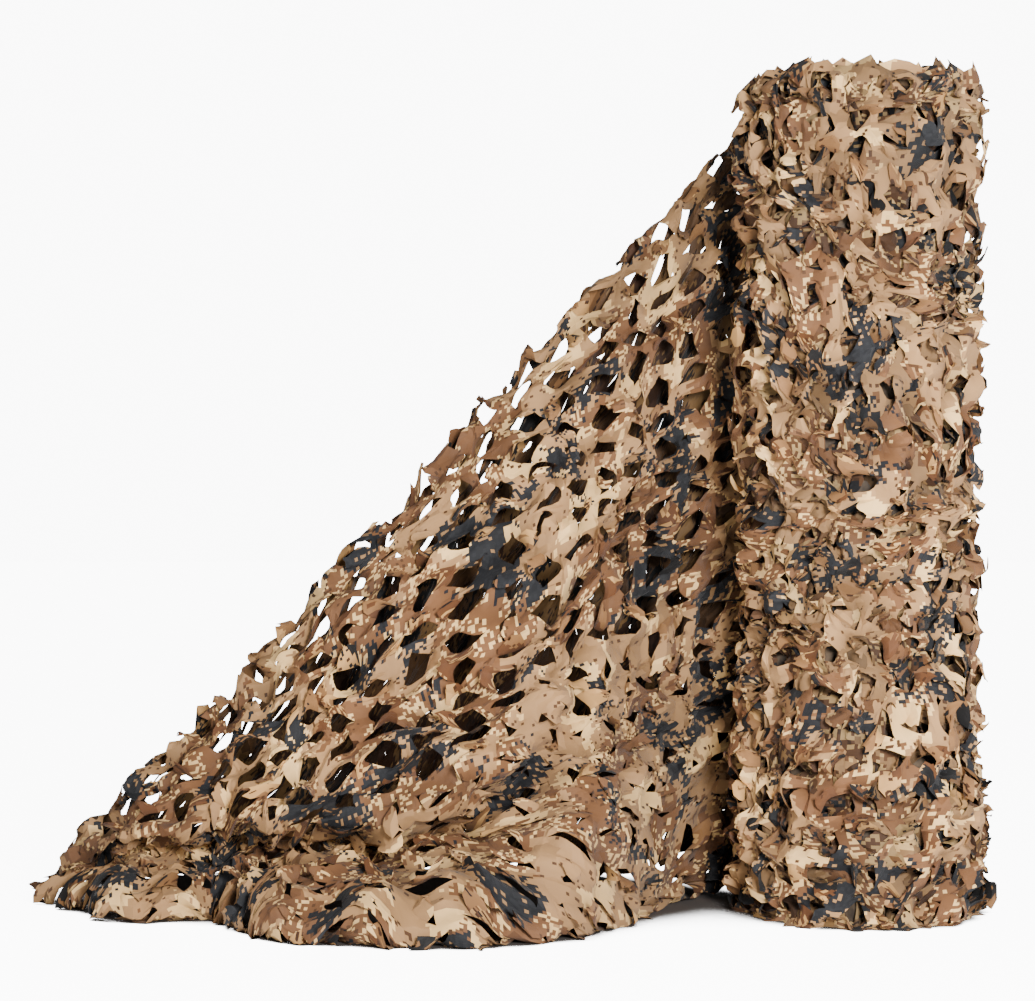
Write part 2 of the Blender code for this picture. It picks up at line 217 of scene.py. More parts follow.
def read_smoothly(places: Array, heights: Array, value: Array) -> Array:
    """Read a table's column on a curve that never overshoots.

    Args:
        places: The rising positions of the table's rows.
        heights: The column's values there.
        value: The positions to read.

    Returns:
        The column at those positions.
    """
    steps = np.diff(places)
    slopes = np.diff(heights) / steps
    tangents = np.zeros(len(places))
    tangents[0], tangents[-1] = slopes[0], slopes[-1]
    before, after = slopes[:-1], slopes[1:]
    rising = before * after > 0.0
    total = np.where(rising, before + after, 1.0)
    tangents[1:-1] = np.where(rising, 2.0 * before * after / total, 0.0)
    index = np.clip(np.searchsorted(places, value) - 1, 0, len(steps) - 1)
    share = (value - places[index]) / steps[index]
    square, cube = share ** 2, share ** 3
    return (
        (2 * cube - 3 * square + 1) * heights[index]
        + (cube - 2 * square + share) * steps[index] * tangents[index]
        + (3 * square - 2 * cube) * heights[index + 1]
        + (cube - square) * steps[index] * tangents[index + 1]
    )


def mix_corners(corner: Callable, left: Array, low: Array, across: Array, up: Array) -> Array:
    """Mix the values at the four corners of grid cells.

    Args:
        corner: Gives the value at a column and a row.
        left: The cells' left columns.
        low: The cells' lower rows.
        across: The share across each cell.
        up: The share up each cell.

    Returns:
        The mixed values.
    """
    bottom, top = (
        corner(left, row) * (1 - across) + corner(left + 1, row) * across for row in (low, low + 1)
    )
    return bottom * (1 - up) + top * up


def grain(x: Array, y: Array, seed: int) -> Array:
    """Return smooth value noise from -1 to 1.

    Args:
        x: The first coordinate, one noise cell a unit.
        y: The second coordinate.
        seed: A whole number that picks the pattern.

    Returns:
        The noise at each point.
    """
    def corner(ix: Array, iy: Array) -> Array:
        """Return the random value of one corner of a noise cell."""
        mixed = (ix * 374761393 + iy * 668265263 + seed * 974711) & 0xFFFFFFFF
        mixed = ((mixed ^ (mixed >> 13)) * 1274126177) & 0xFFFFFFFF
        return ((mixed ^ (mixed >> 16)) & 0xFFFF) / 32767.5 - 1.0

    left = np.floor(x).astype(np.int64)
    low = np.floor(y).astype(np.int64)
    return mix_corners(corner, left, low, ease(0.0, 1.0, x - left), ease(0.0, 1.0, y - low))


def add_object(name: str, data: bpy.types.ID) -> Object:
    """Add an object to the scene.

    Args:
        name: The object's name.
        data: Its mesh, light or camera.

    Returns:
        The object.
    """
    item = bpy.data.objects.new(name, data)
    bpy.context.scene.collection.objects.link(item)
    return item


@dataclass
class Surface:
    """A smooth surface, held as a grid of points that is read between them.

    Args:
        points: The grid, as an array of columns, rows and the three coordinates.
    """

    points: Array
    normals: Array = field(init=False)

    def __post_init__(self) -> None:
        """Work out the outward direction at each point of the grid."""
        along = np.gradient(self.points, axis=0)
        across = np.gradient(self.points, axis=1)
        normals = np.cross(along, across)
        self.normals = normals / np.maximum(np.linalg.norm(normals, axis=2, keepdims=True), 1e-12)

    def read(self, u: Array, v: Array) -> tuple[Array, Array]:
        """Read the surface, which goes straight on past its edges.

        Args:
            u: The place along the first axis, from 0 to 1.
            v: The place along the second axis, from 0 to 1.

        Returns:
            The points there, and the outward directions.
        """
        columns, rows = self.points.shape[:2]
        x = u * (columns - 1)
        y = v * (rows - 1)
        left = np.clip(np.floor(x).astype(int), 0, columns - 2)
        low = np.clip(np.floor(y).astype(int), 0, rows - 2)
        across, up = (x - left)[..., None], (y - low)[..., None]
        inside = (np.clip(share, 0.0, 1.0) for share in (across, up))
        points = mix_corners(lambda column, row: self.points[column, row], left, low, across, up)
        normals = mix_corners(lambda column, row: self.normals[column, row], left, low, *inside)
        return points, normals / np.linalg.norm(normals, axis=-1, keepdims=True)


@dataclass
class DrapedForm:
    """The smooth form of the loose end: back layer, ridge and front layer, as its solid has it.

    Args:
        columns: How many sections are read along the loose end.
        row_pitch: The distance between rows of cuts, in metres.
        row_steps: How many points are read across one row.
        row_fall: How much of the ridge's fall the rows of cuts follow.
        hem_spare: How much of a row may reach past a hem.
    """

    columns: int = 240
    row_pitch: float = CUT_PITCH
    row_steps: int = 8
    row_fall: float = 0.50
    hem_spare: float = 0.34
    runs: Array = field(init=False)
    starts: Array = field(init=False)
    back_rows: int = field(init=False)
    front_rows: int = field(init=False)
    back_lengths: Array = field(init=False)
    front_lengths: Array = field(init=False)

    def read_station(self, runs: Array) -> dict[str, Array]:
        """Read every size of the section.

        Args:
            runs: Distances from the roll.

        Returns:
            Each named size, at those distances.
        """
        places = np.array([station.run for station in STATIONS])
        sizes = {}
        for name in Station._fields[1:]:
            heights = np.array([getattr(station, name) for station in STATIONS])
            sizes[name] = read_smoothly(places, heights, runs)
        return sizes

    def corner_points(self, runs: Array) -> Array:
        """Place the corner points of each section, from the back layer's end to the front layer's.

        Args:
            runs: Distances from the roll.

        Returns:
            An array of sections, corner points and coordinates.
        """
        at = self.read_station(runs)
        ridge = np.stack((at["ridge_x"], at["ridge_y"]), axis=-1)
        to_edge = np.stack((at["edge_x"], at["edge_y"]), axis=-1) - ridge
        to_back = np.stack((at["back_x"], at["back_y"]), axis=-1) - ridge
        edge_reach = np.linalg.norm(to_edge, axis=-1)
        back_reach = np.linalg.norm(to_back, axis=-1)
        forward = to_edge / edge_reach[:, None]
        backward = to_back / back_reach[:, None]
        floor_z = SHEET_THICKNESS / 2
        radius = at["ridge_r"]
        shoulder_z = at["ridge_z"] - radius
        heel_z = 2.0 * at["foot_z"] + floor_z
        neck = np.minimum(NECK_DROP / np.maximum(shoulder_z - at["lip_z"], NECK_DROP), NECK_LIMIT)
        flat = np.full(len(runs), floor_z)

        def place(plan: Array, height: Array) -> Array:
            """Return points from their place in plan and their height."""
            return np.concatenate((plan, height[:, None]), axis=1)

        def face(reach: Array, way: Array, share: Array, low: Array, fall: Array) -> Array:
            """Return points of a face, between its shoulder (0) and its foot (1)."""
            start = radius / reach
            out = start + (share - start) * fall ** HANG_CURVE
            return place(ridge + out[:, None] * way, shoulder_z + (low - shoulder_z) * fall)

        def front(share: Array, height: Array) -> Array:
            """Return points over the line from the ridge (0) to the front edge (1)."""
            return place(ridge + share[:, None] * to_edge, height)

        heel_share = np.full(len(runs), HEEL_SHARE)
        whole, two_thirds, third = (np.full(len(runs), share) for share in (1.0, 2.0 / 3.0, 1.0 / 3.0))
        backs = [face(back_reach, to_back, heel_share, heel_z, fall)
                 for fall in (whole, two_thirds, third, neck)]
        fronts = [face(edge_reach, to_edge, at["lip"], at["lip_z"], fall)
                  for fall in (neck, third, two_thirds)]
        edge = ridge + to_edge
        turn = edge - forward * np.minimum(TURN_REACH, at["under"])[:, None]
        points = [
            place(ridge + to_back + backward * at["back_run"][:, None], flat),
            place(ridge + to_back, at["foot_z"] / 2 + floor_z),
            *backs,
            place(ridge + backward * radius[:, None], shoulder_z),
            place(ridge, at["ridge_z"]),
            place(ridge + forward * radius[:, None], shoulder_z),
            *fronts,
            front(at["lip"], at["lip_z"]),
            front(at["tuck"], at["lip_z"] - at["drop"]),
            front(at["swell"], at["swell_z"]),
            front(whole, at["edge_z"]),
            place(turn, np.maximum(at["turn_z"], floor_z)),
            place(edge - forward * at["under"][:, None], flat),
        ]
        return np.stack(points, axis=1)

    def smooth_paths(self, corners: Array) -> tuple[Array, int]:
        """Draw a smooth curve through each section's corner points.

        Args:
            corners: An array of sections, corner points and coordinates.

        Returns:
            The curves' points, and the index of the ridge among them.
        """
        def blend(place: Array, knots: list, points: list) -> Array:
            """Return the points at a place on the lines through two knots."""
            start, end = knots
            length = end - start
            return (end - place) / length * points[0] + (place - start) / length * points[1]

        first = 2 * corners[:, :1] - corners[:, 1:2]
        last = 2 * corners[:, -1:] - corners[:, -2:-1]
        padded = np.concatenate((first, corners, last), axis=1)
        paths = []
        for span, count in enumerate(SPAN_SAMPLES):
            ends = [padded[:, span + k] for k in range(4)]
            gaps = [np.sqrt(np.linalg.norm(b - a, axis=1))[:, None] for a, b in zip(ends, ends[1:])]
            knots = [0.0, gaps[0], gaps[0] + gaps[1], gaps[0] + gaps[1] + gaps[2]]
            for step in range(count):
                place = knots[1] + (knots[2] - knots[1]) * step / count
                lines = [blend(place, knots[k:k + 2], ends[k:k + 2]) for k in range(3)]
                bends = [blend(place, knots[k:k + 3:2], lines[k:k + 2]) for k in range(2)]
                paths.append(blend(place, knots[1:3], bends))
        paths.append(corners[:, -1])
        return np.stack(paths, axis=1), sum(SPAN_SAMPLES[:RIDGE_POINT])

    def fold(self, paths: Array, runs: Array) -> Array:
        """Move the plain sections by the hanging folds, the puddle's folds and a slow sway.

        Args:
            paths: The sections' points.
            runs: The sections' distances from the roll.

        Returns:
            The moved points.
        """
        run = runs[:, None]
        y, z = paths[..., 1], paths[..., 2]
        floor_z = SHEET_THICKNESS / 2
        turn = 2 * math.pi * run
        ridge_z = self.read_station(runs)["ridge_z"][:, None]
        below_ridge = ease(*RIDGE_CALM, ridge_z - z)
        hanging = between(FOLD_RUNS, run) * below_ridge * (1.0 - FOLD_FADE * ease(*FOLD_FADE_HEIGHTS, z))
        hanging_wave = np.sin(turn / FOLD_PITCH + 2.0 * np.sin(2.6 * z) + 1.5 * np.sin(9.0 * run))
        low = between(PUDDLE_RUNS, run) * (1.0 - ease(*PUDDLE_TOP, z)) * ease(floor_z, FLOOR_CALM, z)
        puddle_wave = np.sin(turn / PUDDLE_PITCH + 7.3 * y + 0.9)
        rising_wave = np.sin(turn / (1.37 * PUDDLE_PITCH) + 2.1)
        swaying = between(SWAY_RUNS, run) * below_ridge
        slow_wave = np.sin(7.3 * run + 2.0) * np.cos(4.1 * z + 2.7 * run)
        moved = paths.copy()
        moved[..., 1] += FOLD_DEPTH * hanging * hanging_wave
        moved[..., 1] += PUDDLE_DEPTH * low * puddle_wave + SWAY_DEPTH * swaying * slow_wave
        moved[..., 2] += PUDDLE_RISE * PUDDLE_DEPTH * low * rising_wave
        moved[..., 2] = np.maximum(moved[..., 2], floor_z)
        return moved

    def surface(self) -> Surface:
        """Return the form: u runs away from the roll, v from the back layer's hem to the front one's.

        The columns of cuts stand upright. The rows start level at the roll and fall with a part of the
        ridge's slope. Past a hem the surface goes straight on, for a cut that reaches over it.

        Returns:
            The surface.
        """
        dense = np.linspace(0.0, STATIONS[-1].run, RUN_SAMPLES)
        away = -self.read_station(dense)["ridge_x"]
        self.runs = np.interp(np.linspace(away[0], away[-1], self.columns), away, dense)
        ridge_z = self.read_station(self.runs)["ridge_z"]
        self.starts = (1.0 - self.row_fall) * (ridge_z[0] - ridge_z)
        paths, ridge = self.smooth_paths(self.corner_points(self.runs))
        folded = self.fold(paths, self.runs)
        steps = np.linalg.norm(np.diff(folded, axis=1), axis=2)
        places = np.concatenate((np.zeros((len(self.runs), 1)), np.cumsum(steps, axis=1)), axis=1)
        places = places - places[:, ridge:ridge + 1]
        self.back_lengths, self.front_lengths = -places[:, 0], places[:, -1]
        self.back_rows = math.ceil((self.back_lengths - self.starts).max() / self.row_pitch)
        self.front_rows = math.ceil((self.front_lengths + self.starts).max() / self.row_pitch)
        rows = self.back_rows + self.front_rows
        wanted = np.linspace(-self.back_rows, self.front_rows, rows * self.row_steps + 1) * self.row_pitch
        sections = []
        for section, place, start in zip(folded, places, self.starts):
            across = wanted - start
            read = np.stack([np.interp(across, place, section[:, k]) for k in range(3)], axis=1)
            for hem, past in ((section[:3], place[0] - across), (section[:-4:-1], across - place[-1])):
                way = (hem[0] - hem[2]) / np.linalg.norm(hem[0] - hem[2])
                read = read + np.maximum(past, 0.0)[:, None] * way
            sections.append(read)
        return Surface(np.array(sections))

    def run_at(self, u: Array) -> Array:
        """Return the distance from the roll, measured along the ridge."""
        return np.interp(u, np.linspace(0.0, 1.0, self.columns), self.runs)

    def across(self, u: Array, v: Array) -> Array:
        """Return the distance from the ridge: above 0 on the front layer, below 0 on the back one."""
        level = (v * (self.back_rows + self.front_rows) - self.back_rows) * self.row_pitch
        return level - np.interp(self.run_at(u), self.runs, self.starts)

    def inside(self, u: Array, v: Array) -> Array:
        """Say which places lie on the cloth, give or take a third of a row at its hems.

        Args:
            u: Places along the surface, from 0 to 1.
            v: Places across it.

        Returns:
            True where the cloth is.
        """
        run = self.run_at(u)
        back = np.interp(run, self.runs, self.back_lengths)
        front = np.interp(run, self.runs, self.front_lengths)
        spare = self.row_pitch * self.hem_spare
        across = self.across(u, v)
        return (across >= -back - spare) & (across <= front + spare)


@dataclass
class RollForm:
    """The smooth form of the wound roll, as its solid has it."""

    radius: float = ROLL_RADIUS
    height: float = ROLL_HEIGHT
    dish: float = 0.016
    dish_waver: float = 0.006
    turn_points: int = 60
    band_rows: int = 6

    @staticmethod
    def around(angle: Array, reach: Array, level: Array) -> Surface:
        """Return the surface with these directions, distances from the axis and heights."""
        places = np.broadcast_arrays(reach * np.cos(angle), reach * np.sin(angle), level)
        return Surface(np.stack(places, axis=-1))

    def reach(self, angle: Array, level: Array) -> Array:
        """Return the outer turn's radius.

        Args:
            angle: The direction from the axis.
            level: The height over the floor.

        Returns:
            The distance from the axis, without the slow gain of the winding.
        """
        past_lap = (angle - LAP_ANGLE + math.pi) % (2 * math.pi) - math.pi
        free = 1.0 - np.exp(-(past_lap / LAP_CALM_ANGLE) ** 2)
        profile = np.array(ROLL_PROFILE)
        swell = read_smoothly(profile[:, 0], profile[:, 1], level)
        lumps = np.sin(3 * angle + 5.1 * level) * np.sin(2 * angle - 7.7 * level + 1.0)
        furrows = 0.4 * np.sin(7 * angle + 2.3 * np.sin(4.0 * level))
        return self.radius + free * (swell + LUMP_DEPTH * (lumps + furrows))

    def wound_surface(self, turns: float, pitch: float, columns: int = 620, rows: int = 160) -> Surface:
        """Return the last turns of the winding: u runs towards the lap, v from the floor up.

        Args:
            turns: How many turns are shown.
            pitch: How much the radius gains in a turn.
            columns: How many points are read along the winding.
            rows: How many points are read up it.

        Returns:
            The surface.
        """
        from_end = np.linspace(turns, 0.0, columns)[:, None]
        level = np.linspace(0.0, self.height, rows)[None, :]
        angle = LAP_ANGLE - 2 * math.pi * from_end
        reach = self.reach(angle, level) - pitch * from_end + WOUND_STAND_OFF
        return self.around(angle, reach, level)

    def spiral_surface(self, inner: float, outer: float, pitch: float, low: float, high: float) -> Surface:
        """Return a spiral band: the edge of the inner turns at one end of the roll.

        Args:
            inner: The radius where the spiral starts.
            outer: The radius where it ends.
            pitch: How much the radius gains in a turn.
            low: The band's lower edge.
            high: The band's upper edge.

        Returns:
            The surface.
        """
        turns = (outer - inner) / pitch
        from_start = np.linspace(0.0, turns, int(turns * self.turn_points))[:, None]
        share = np.linspace(0.0, 1.0, self.band_rows)[None, :]
        angle = LAP_ANGLE + 2 * math.pi * (from_start - turns)
        reach = inner + pitch * from_start
        reach = reach * (1.0 + 0.03 * np.sin(2 * angle + 9.0 * reach) + 0.02 * np.sin(5 * angle + 1.3))
        waver = self.dish_waver * np.sin(1.7 * angle + 0.6)
        dish = self.dish * (1.0 - (reach / outer) ** 2) + waver
        return self.around(angle, reach, low + (high - low) * share - dish)


@dataclass(frozen=True)
class LeafCut:
    """Sizes of a web's cuts and leaves, as shares of the pitch between cuts unless named otherwise.

    Args:
        gap_length: Half the length of a gap, from and to.
        gap_width: Half the width of a gap that stands wide open, from and to.
        tilt: How far a gap turns from its row, in radians.
        fullness: How square (below 1) or pointed (above 1) a lip's curve is, from and to.
        lop: How far a lip's widest place moves to one side.
        wander: How far a hub between four gaps wanders.
        drift: How far whole rows and columns drift, in cells.
        hub_lift: How far a hub stands off the surface, in metres.
        hub_slope: How much a hub's own slope rises over one pitch, in metres.
        crease: How far the cloth's creases stand off it, in metres.
        middle_shift: How far the middle of a gap moves.
        lean: How much of the lift a lip leans by, from and to.
        lip_lift: How far a gap's lips lean off the surface, in metres.
        stand_off: How far the web and its leaves stand off at most, in metres.
        bow: How far both lips bow the same way, from and to.
        leaf_length: The length of a leaf, from and to.
        other_lip: The share of leaves that hang from the other lip.
        leaf_turn: How far a leaf turns sideways, in radians.
        leaf_angle: How far a hanging leaf is bent out at its root, in radians, from and to.
        folded_angle: The same for a leaf that is folded back over its lip.
        folded_share: The share of leaves that are folded back.
        leaf_curl: How much more it bends with each third, in radians, from and to.
        leaf_tip: The width of its tip as a share of its root, from and to.
        leaf_skew: How far its tip moves sideways.
        leaf_round: How much its rounded tip falls short at the sides.
        leaf_twist: How far its tip is twisted.
        leaf_underside_shade: The painted shade of a leaf's underside: how bright it is, as a share of its
            upper side.
    """

    gap_length: tuple = (0.42, 0.50)
    gap_width: tuple = (0.25, 0.43)
    fullness: tuple = (0.85, 2.10)
    lop: float = 0.75
    tilt: float = 0.55
    wander: float = 0.22
    drift: float = 0.40
    hub_lift: float = 0.010
    hub_slope: float = 0.045
    crease: float = 0.0042
    middle_shift: float = 0.03
    lean: tuple = (-0.7, 1.0)
    lip_lift: float = 0.014
    stand_off: float = 0.032
    bow: tuple = (0.05, 0.26)
    leaf_length: tuple = (0.36, 0.66)
    other_lip: float = 0.35
    leaf_turn: float = 0.60
    leaf_angle: tuple = (0.40, 1.20)
    folded_angle: tuple = (1.80, 2.80)
    folded_share: float = 0.66
    leaf_curl: tuple = (-0.45, 0.50)
    leaf_tip: tuple = (0.04, 0.70)
    leaf_skew: float = 0.24
    leaf_round: float = 0.11
    leaf_twist: float = 0.22
    # Painted shade on the leaves' undersides.
    leaf_underside_shade: float = 0.62


# The parts of one cell: its loop of points, its lips and its leaf
CORNERS = ((0, 0), (0, 1), (1, 0), (1, 1))
SIDE_STEPS = 4
LOOP = 4 * SIDE_STEPS
GAP_ENDS = (3 * SIDE_STEPS // 2, 7 * SIDE_STEPS // 2)
CELL_MARGIN = (0.03, 0.97)
RING_LIFTS = (0.35, 0.5)
LEAF_COLUMNS = 5
LEAF_ROWS = 3
LEAF_WIDTHS = (1.12, 1.02, 0.84)
LEAF_ROOT = slice(2 * SIDE_STEPS, 2 * SIDE_STEPS + LEAF_COLUMNS)
LEAF_GAP = 0.0012
TIP_SHAPE = (0.0, 0.14, 0.44, 0.18)
TIP_SHARES = (0.4, 1.0)

# What a cut does that stands shut: its leaf is longer and hangs closer
SHUT_LENGTH = 0.70
SHUT_HANG = 0.65
FOLDED_POWER = 1.5

# The web's unevenness: how fast it changes, in noise cells a cut, and its painted shade by height
DRIFT_RATE = 0.30
SLOW_RATE = 0.55
CREASE_RATE = 2.3
SLOW_SHARE = 0.8
HUB_BLEND = (0.22, 0.78)
EDGE_CALM = (0.0, 2.0)
PAINTED_SHADE_BASE = 0.86
PAINTED_SHADE_GAIN = 15.0
PAINTED_SHADE_LEAST = 0.50
SHARP_ANGLE = math.radians(24.0)


@dataclass
class CutStance:
    """How open the cuts of a web stand, and how far it may lift, over the web's surface.

    Args:
        open_share: How far the cuts stand open, where nothing changes it.
        relief_share: How far the web may stand off its surface, where nothing changes it.
    """

    open_share: float = 0.90
    relief_share: float = 1.0

    def openness(self, u: Array, v: Array) -> Array:
        """Return how far the cuts stand open, from 0 to 1."""
        return np.full(np.shape(u), self.open_share)

    def relief(self, u: Array, v: Array) -> Array:
        """Return how far the web may stand off its surface, from 0 to 1."""
        return np.full(np.shape(u), self.relief_share)

    def swell(self, u: Array, v: Array) -> Array:
        """Return how much the hubs between the gaps lift and slope, from 0 to 1."""
        return np.ones(np.shape(u))

    def shade(self, u: Array, v: Array) -> Array:
        """Return the painted shade, from 0 to 1: full, for a web with nothing over it."""
        return np.ones(np.shape(u))

    def underside_shade(self, u: Array, v: Array) -> Array:
        """Return the painted shade of the web's underside: how bright it is, as a share of its upper side.
        """
        return np.full(np.shape(u), 0.45)

    def forward(self, u: Array, v: Array) -> Array:
        """Return True where leaves hang towards higher v: nowhere, for a web that stands upright."""
        return np.zeros(np.shape(u), bool)

    def inside(self, u: Array, v: Array) -> Array:
        """Return True everywhere, for a web that fills its surface."""
        return np.ones(np.shape(u), bool)


@dataclass
class LeafWeb:
    """A leaf-cut web laid over a surface, one cell for each cut.

    Args:
        surface: The surface that the web follows.
        columns: How many cells lie along the surface's u.
        rows: How many cells lie along its v.
        pitch: The flat size of one cell, in metres.
        cut: The sizes of its cuts.
        stance: How open they stand, and where the web is.
        seed: A whole number that picks the cuts' unevenness.
    """

    surface: Surface
    columns: int
    rows: int
    pitch: tuple
    cut: LeafCut
    stance: CutStance
    seed: int
    dice: np.random.Generator = field(init=False)
    size: Array = field(init=False)
    count: int = field(init=False)
    column: Array = field(init=False)
    row: Array = field(init=False)
    kept: Array = field(init=False)
    open: Array = field(init=False)
    forward: Array = field(init=False)
    hubs: Array = field(init=False)
    quarter: Array = field(init=False)

    def build(self, name: str) -> Object:
        """Build the web as one mesh with its flat places as the UV map.

        Args:
            name: The object's name.

        Returns:
            The new object.
        """
        self.dice = np.random.default_rng(self.seed)
        self.size = np.array([[self.columns], [self.rows]])
        self.choose_cells()
        self.make_hubs()
        self.choose_turns()
        rings = self.cell_rings()
        leaves = self.cell_leaves(rings[:, :, -1])
        ring, leaf, flat_leaf = (self.turned(pair) for pair in (rings[:2], leaves[:2], leaves[3:]))
        border, edge = self.shared_border(ring[:, :, 0])

        def join(first: Array, second: Array) -> Array:
            """Return one row of points of two parts of the web."""
            return np.concatenate((first, second.reshape(*first.shape[:-1], -1)), axis=-1)

        web = join(edge, ring[:, :, 1:])
        web_lift = join(np.zeros(edge.shape[1]), rings[2, :, 1:])
        above = np.repeat((0.0, LEAF_GAP), (web.shape[1], leaves[2].size))
        points, depth = self.place(join(web, leaf), join(web_lift, leaves[2]), above)
        piece = self.make_object(name, points, self.faces(border, edge.shape[1]), join(web, flat_leaf))
        # Painted shade of undersides: the web's from its stance, the leaves' from the cut.
        underside_shade = self.stance.underside_shade(*(web / self.size))
        underside_shade = join(underside_shade, np.full(leaves[2].shape, self.cut.leaf_underside_shade))
        # Painted shade, stored on the points: depth darkens deep places, and the other attribute darkens
        # undersides.
        for label, values in (("depth", depth), ("underside_shade", underside_shade)):
            attribute = piece.data.attributes.new(label, "FLOAT", "POINT")
            attribute.data.foreach_set("value", values.astype(np.float32))
        return piece

    def random(self, low: float, high: float) -> Array:
        """Return one random number for each cell, between two limits."""
        return self.dice.uniform(low, high, self.count)

    def choose_cells(self) -> None:
        """Keep the cells that lie on the cloth, and read how open each stands."""
        cells = np.arange(self.columns * self.rows)
        column, row = cells // self.rows, cells % self.rows
        kept = np.ones(len(cells), bool)
        for over, up in CORNERS:
            kept &= self.stance.inside((column + over) / self.columns, (row + up) / self.rows)
        self.column, self.row = column[kept], row[kept]
        self.count = len(self.column)
        self.kept = np.zeros((self.columns + 2, self.rows + 2), bool)
        self.kept[self.column + 1, self.row + 1] = True
        u, v = (self.column + 0.5) / self.columns, (self.row + 0.5) / self.rows
        self.open = np.clip(self.stance.openness(u, v), 0.0, 1.0)
        self.forward = self.stance.forward(u, v)

    def make_hubs(self) -> None:
        """Choose how far each hub between four gaps wanders, lifts and slopes."""
        cut = self.cut
        shape = (self.columns + 1, self.rows + 1)
        spans = (cut.wander, cut.wander, cut.hub_lift, cut.hub_slope, cut.hub_slope)
        self.hubs = np.stack([self.dice.uniform(-span, span, shape) for span in spans], axis=-1)
        self.hubs[0, :, 0] = self.hubs[-1, :, 0] = 0.0
        self.hubs[:, 0, 1] = self.hubs[:, -1, 1] = 0.0

    def choose_turns(self) -> None:
        """Choose each cut's direction: they alternate, and most leaves hang from the upper lip."""
        upright = (self.column + self.row) % 2 == 1
        other = self.dice.random(self.count) < self.cut.other_lip
        self.quarter = np.where(upright, np.where(other, 3, 1), np.where(self.forward ^ other, 2, 0))

    def hub_shift(self, places: Array) -> Array:
        """Shift points with the four hubs around them, each of which keeps its own slope.

        Args:
            places: Places along and across the web, in cells.

        Returns:
            The shifts along and across, in cells, and off the surface, in metres.
        """
        cell = np.clip(np.floor(places).astype(int), 0, self.size - 1)
        share = places - cell
        soft_share = ease(*HUB_BLEND, share)
        shift = np.zeros((3, places.shape[1]))
        for corner in CORNERS:
            corner = np.array(corner)[:, None]
            hub = self.hubs[tuple(cell + corner)].T
            across, up = share - corner
            shift[:2] += np.prod(np.abs(1 - corner - share), axis=0) * hub[:2]
            slope = hub[2] + hub[3] * across + hub[4] * up
            shift[2] += np.prod(np.abs(1 - corner - soft_share), axis=0) * slope
        return shift

    def place(self, places: Array, lift: Array, above: Array) -> tuple[Array, Array]:
        """Place points of the web in space. What would sink into the floor splays out over it.

        Args:
            places: Places along and across the web, in cells.
            lift: How far they stand off the surface, in metres.
            above: A small height over the floor that keeps layers apart there, in metres.

        Returns:
            The points, and the painted shade of each: 1 where it stands out, darker where it lies deep.
        """
        def noise(rate: float, pattern: int, size: float) -> Array:
            """Return the web's unevenness at one rate of change."""
            return grain(*(rate * places), self.seed + pattern) * size

        shift = self.hub_shift(places)
        free = ease(*EDGE_CALM, np.minimum(places, self.size - places))
        drift = np.stack([noise(DRIFT_RATE, pattern, self.cut.drift) for pattern in (1, 2)]) * free
        shares = (places + shift[:2] + drift) / self.size
        slow = noise(SLOW_RATE, 0, self.cut.hub_lift) * SLOW_SHARE
        fine = noise(CREASE_RATE, 3, self.cut.crease)
        swelling = (shift[2] + slow) * self.stance.swell(*shares)
        rise = (lift + swelling + fine) * self.stance.relief(*shares)
        most = self.cut.stand_off
        rise = np.where(rise > 0.0, most * np.tanh(rise / most), rise)
        points, normals = self.surface.read(*shares)
        points = points + normals * rise[:, None]
        sunk = np.maximum(FLOOR_LEVEL + above - points[:, 2], 0.0)
        points[:, :2] += normals[:, :2] * sunk[:, None]
        points[:, 2] += sunk
        # Painted shade: the colour of points that lie deep is darkened, as in the shade of the web around
        # them.
        bright = np.clip(PAINTED_SHADE_BASE + PAINTED_SHADE_GAIN * rise, PAINTED_SHADE_LEAST, 1.0)
        return points, bright * self.stance.shade(*shares)

    def cell_rings(self) -> Array:
        """Lay out the rings of every cell: its border, a ring half way, and the gap's lips.

        Returns:
            The rings' places along and across and their lifts, by cells, rings and points.
        """
        cut = self.cut
        side = np.arange(SIDE_STEPS) / SIDE_STEPS
        zeros, ones = np.zeros(SIDE_STEPS), np.ones(SIDE_STEPS)
        sides = np.concatenate((side, ones, 1 - side, zeros))
        border_x = np.broadcast_to(sides, (self.count, LOOP))
        border_y = np.broadcast_to(np.roll(sides, SIDE_STEPS), (self.count, LOOP))
        turn = (np.arange(LOOP) - 3 * SIDE_STEPS // 2) % LOOP / (LOOP // 2)
        first, share = turn < 1.0, turn % 1.0

        def each_lip(low: float, high: float) -> Array:
            """Return a random number for each lip of every gap."""
            return np.where(first, self.random(low, high)[:, None], self.random(low, high)[:, None])

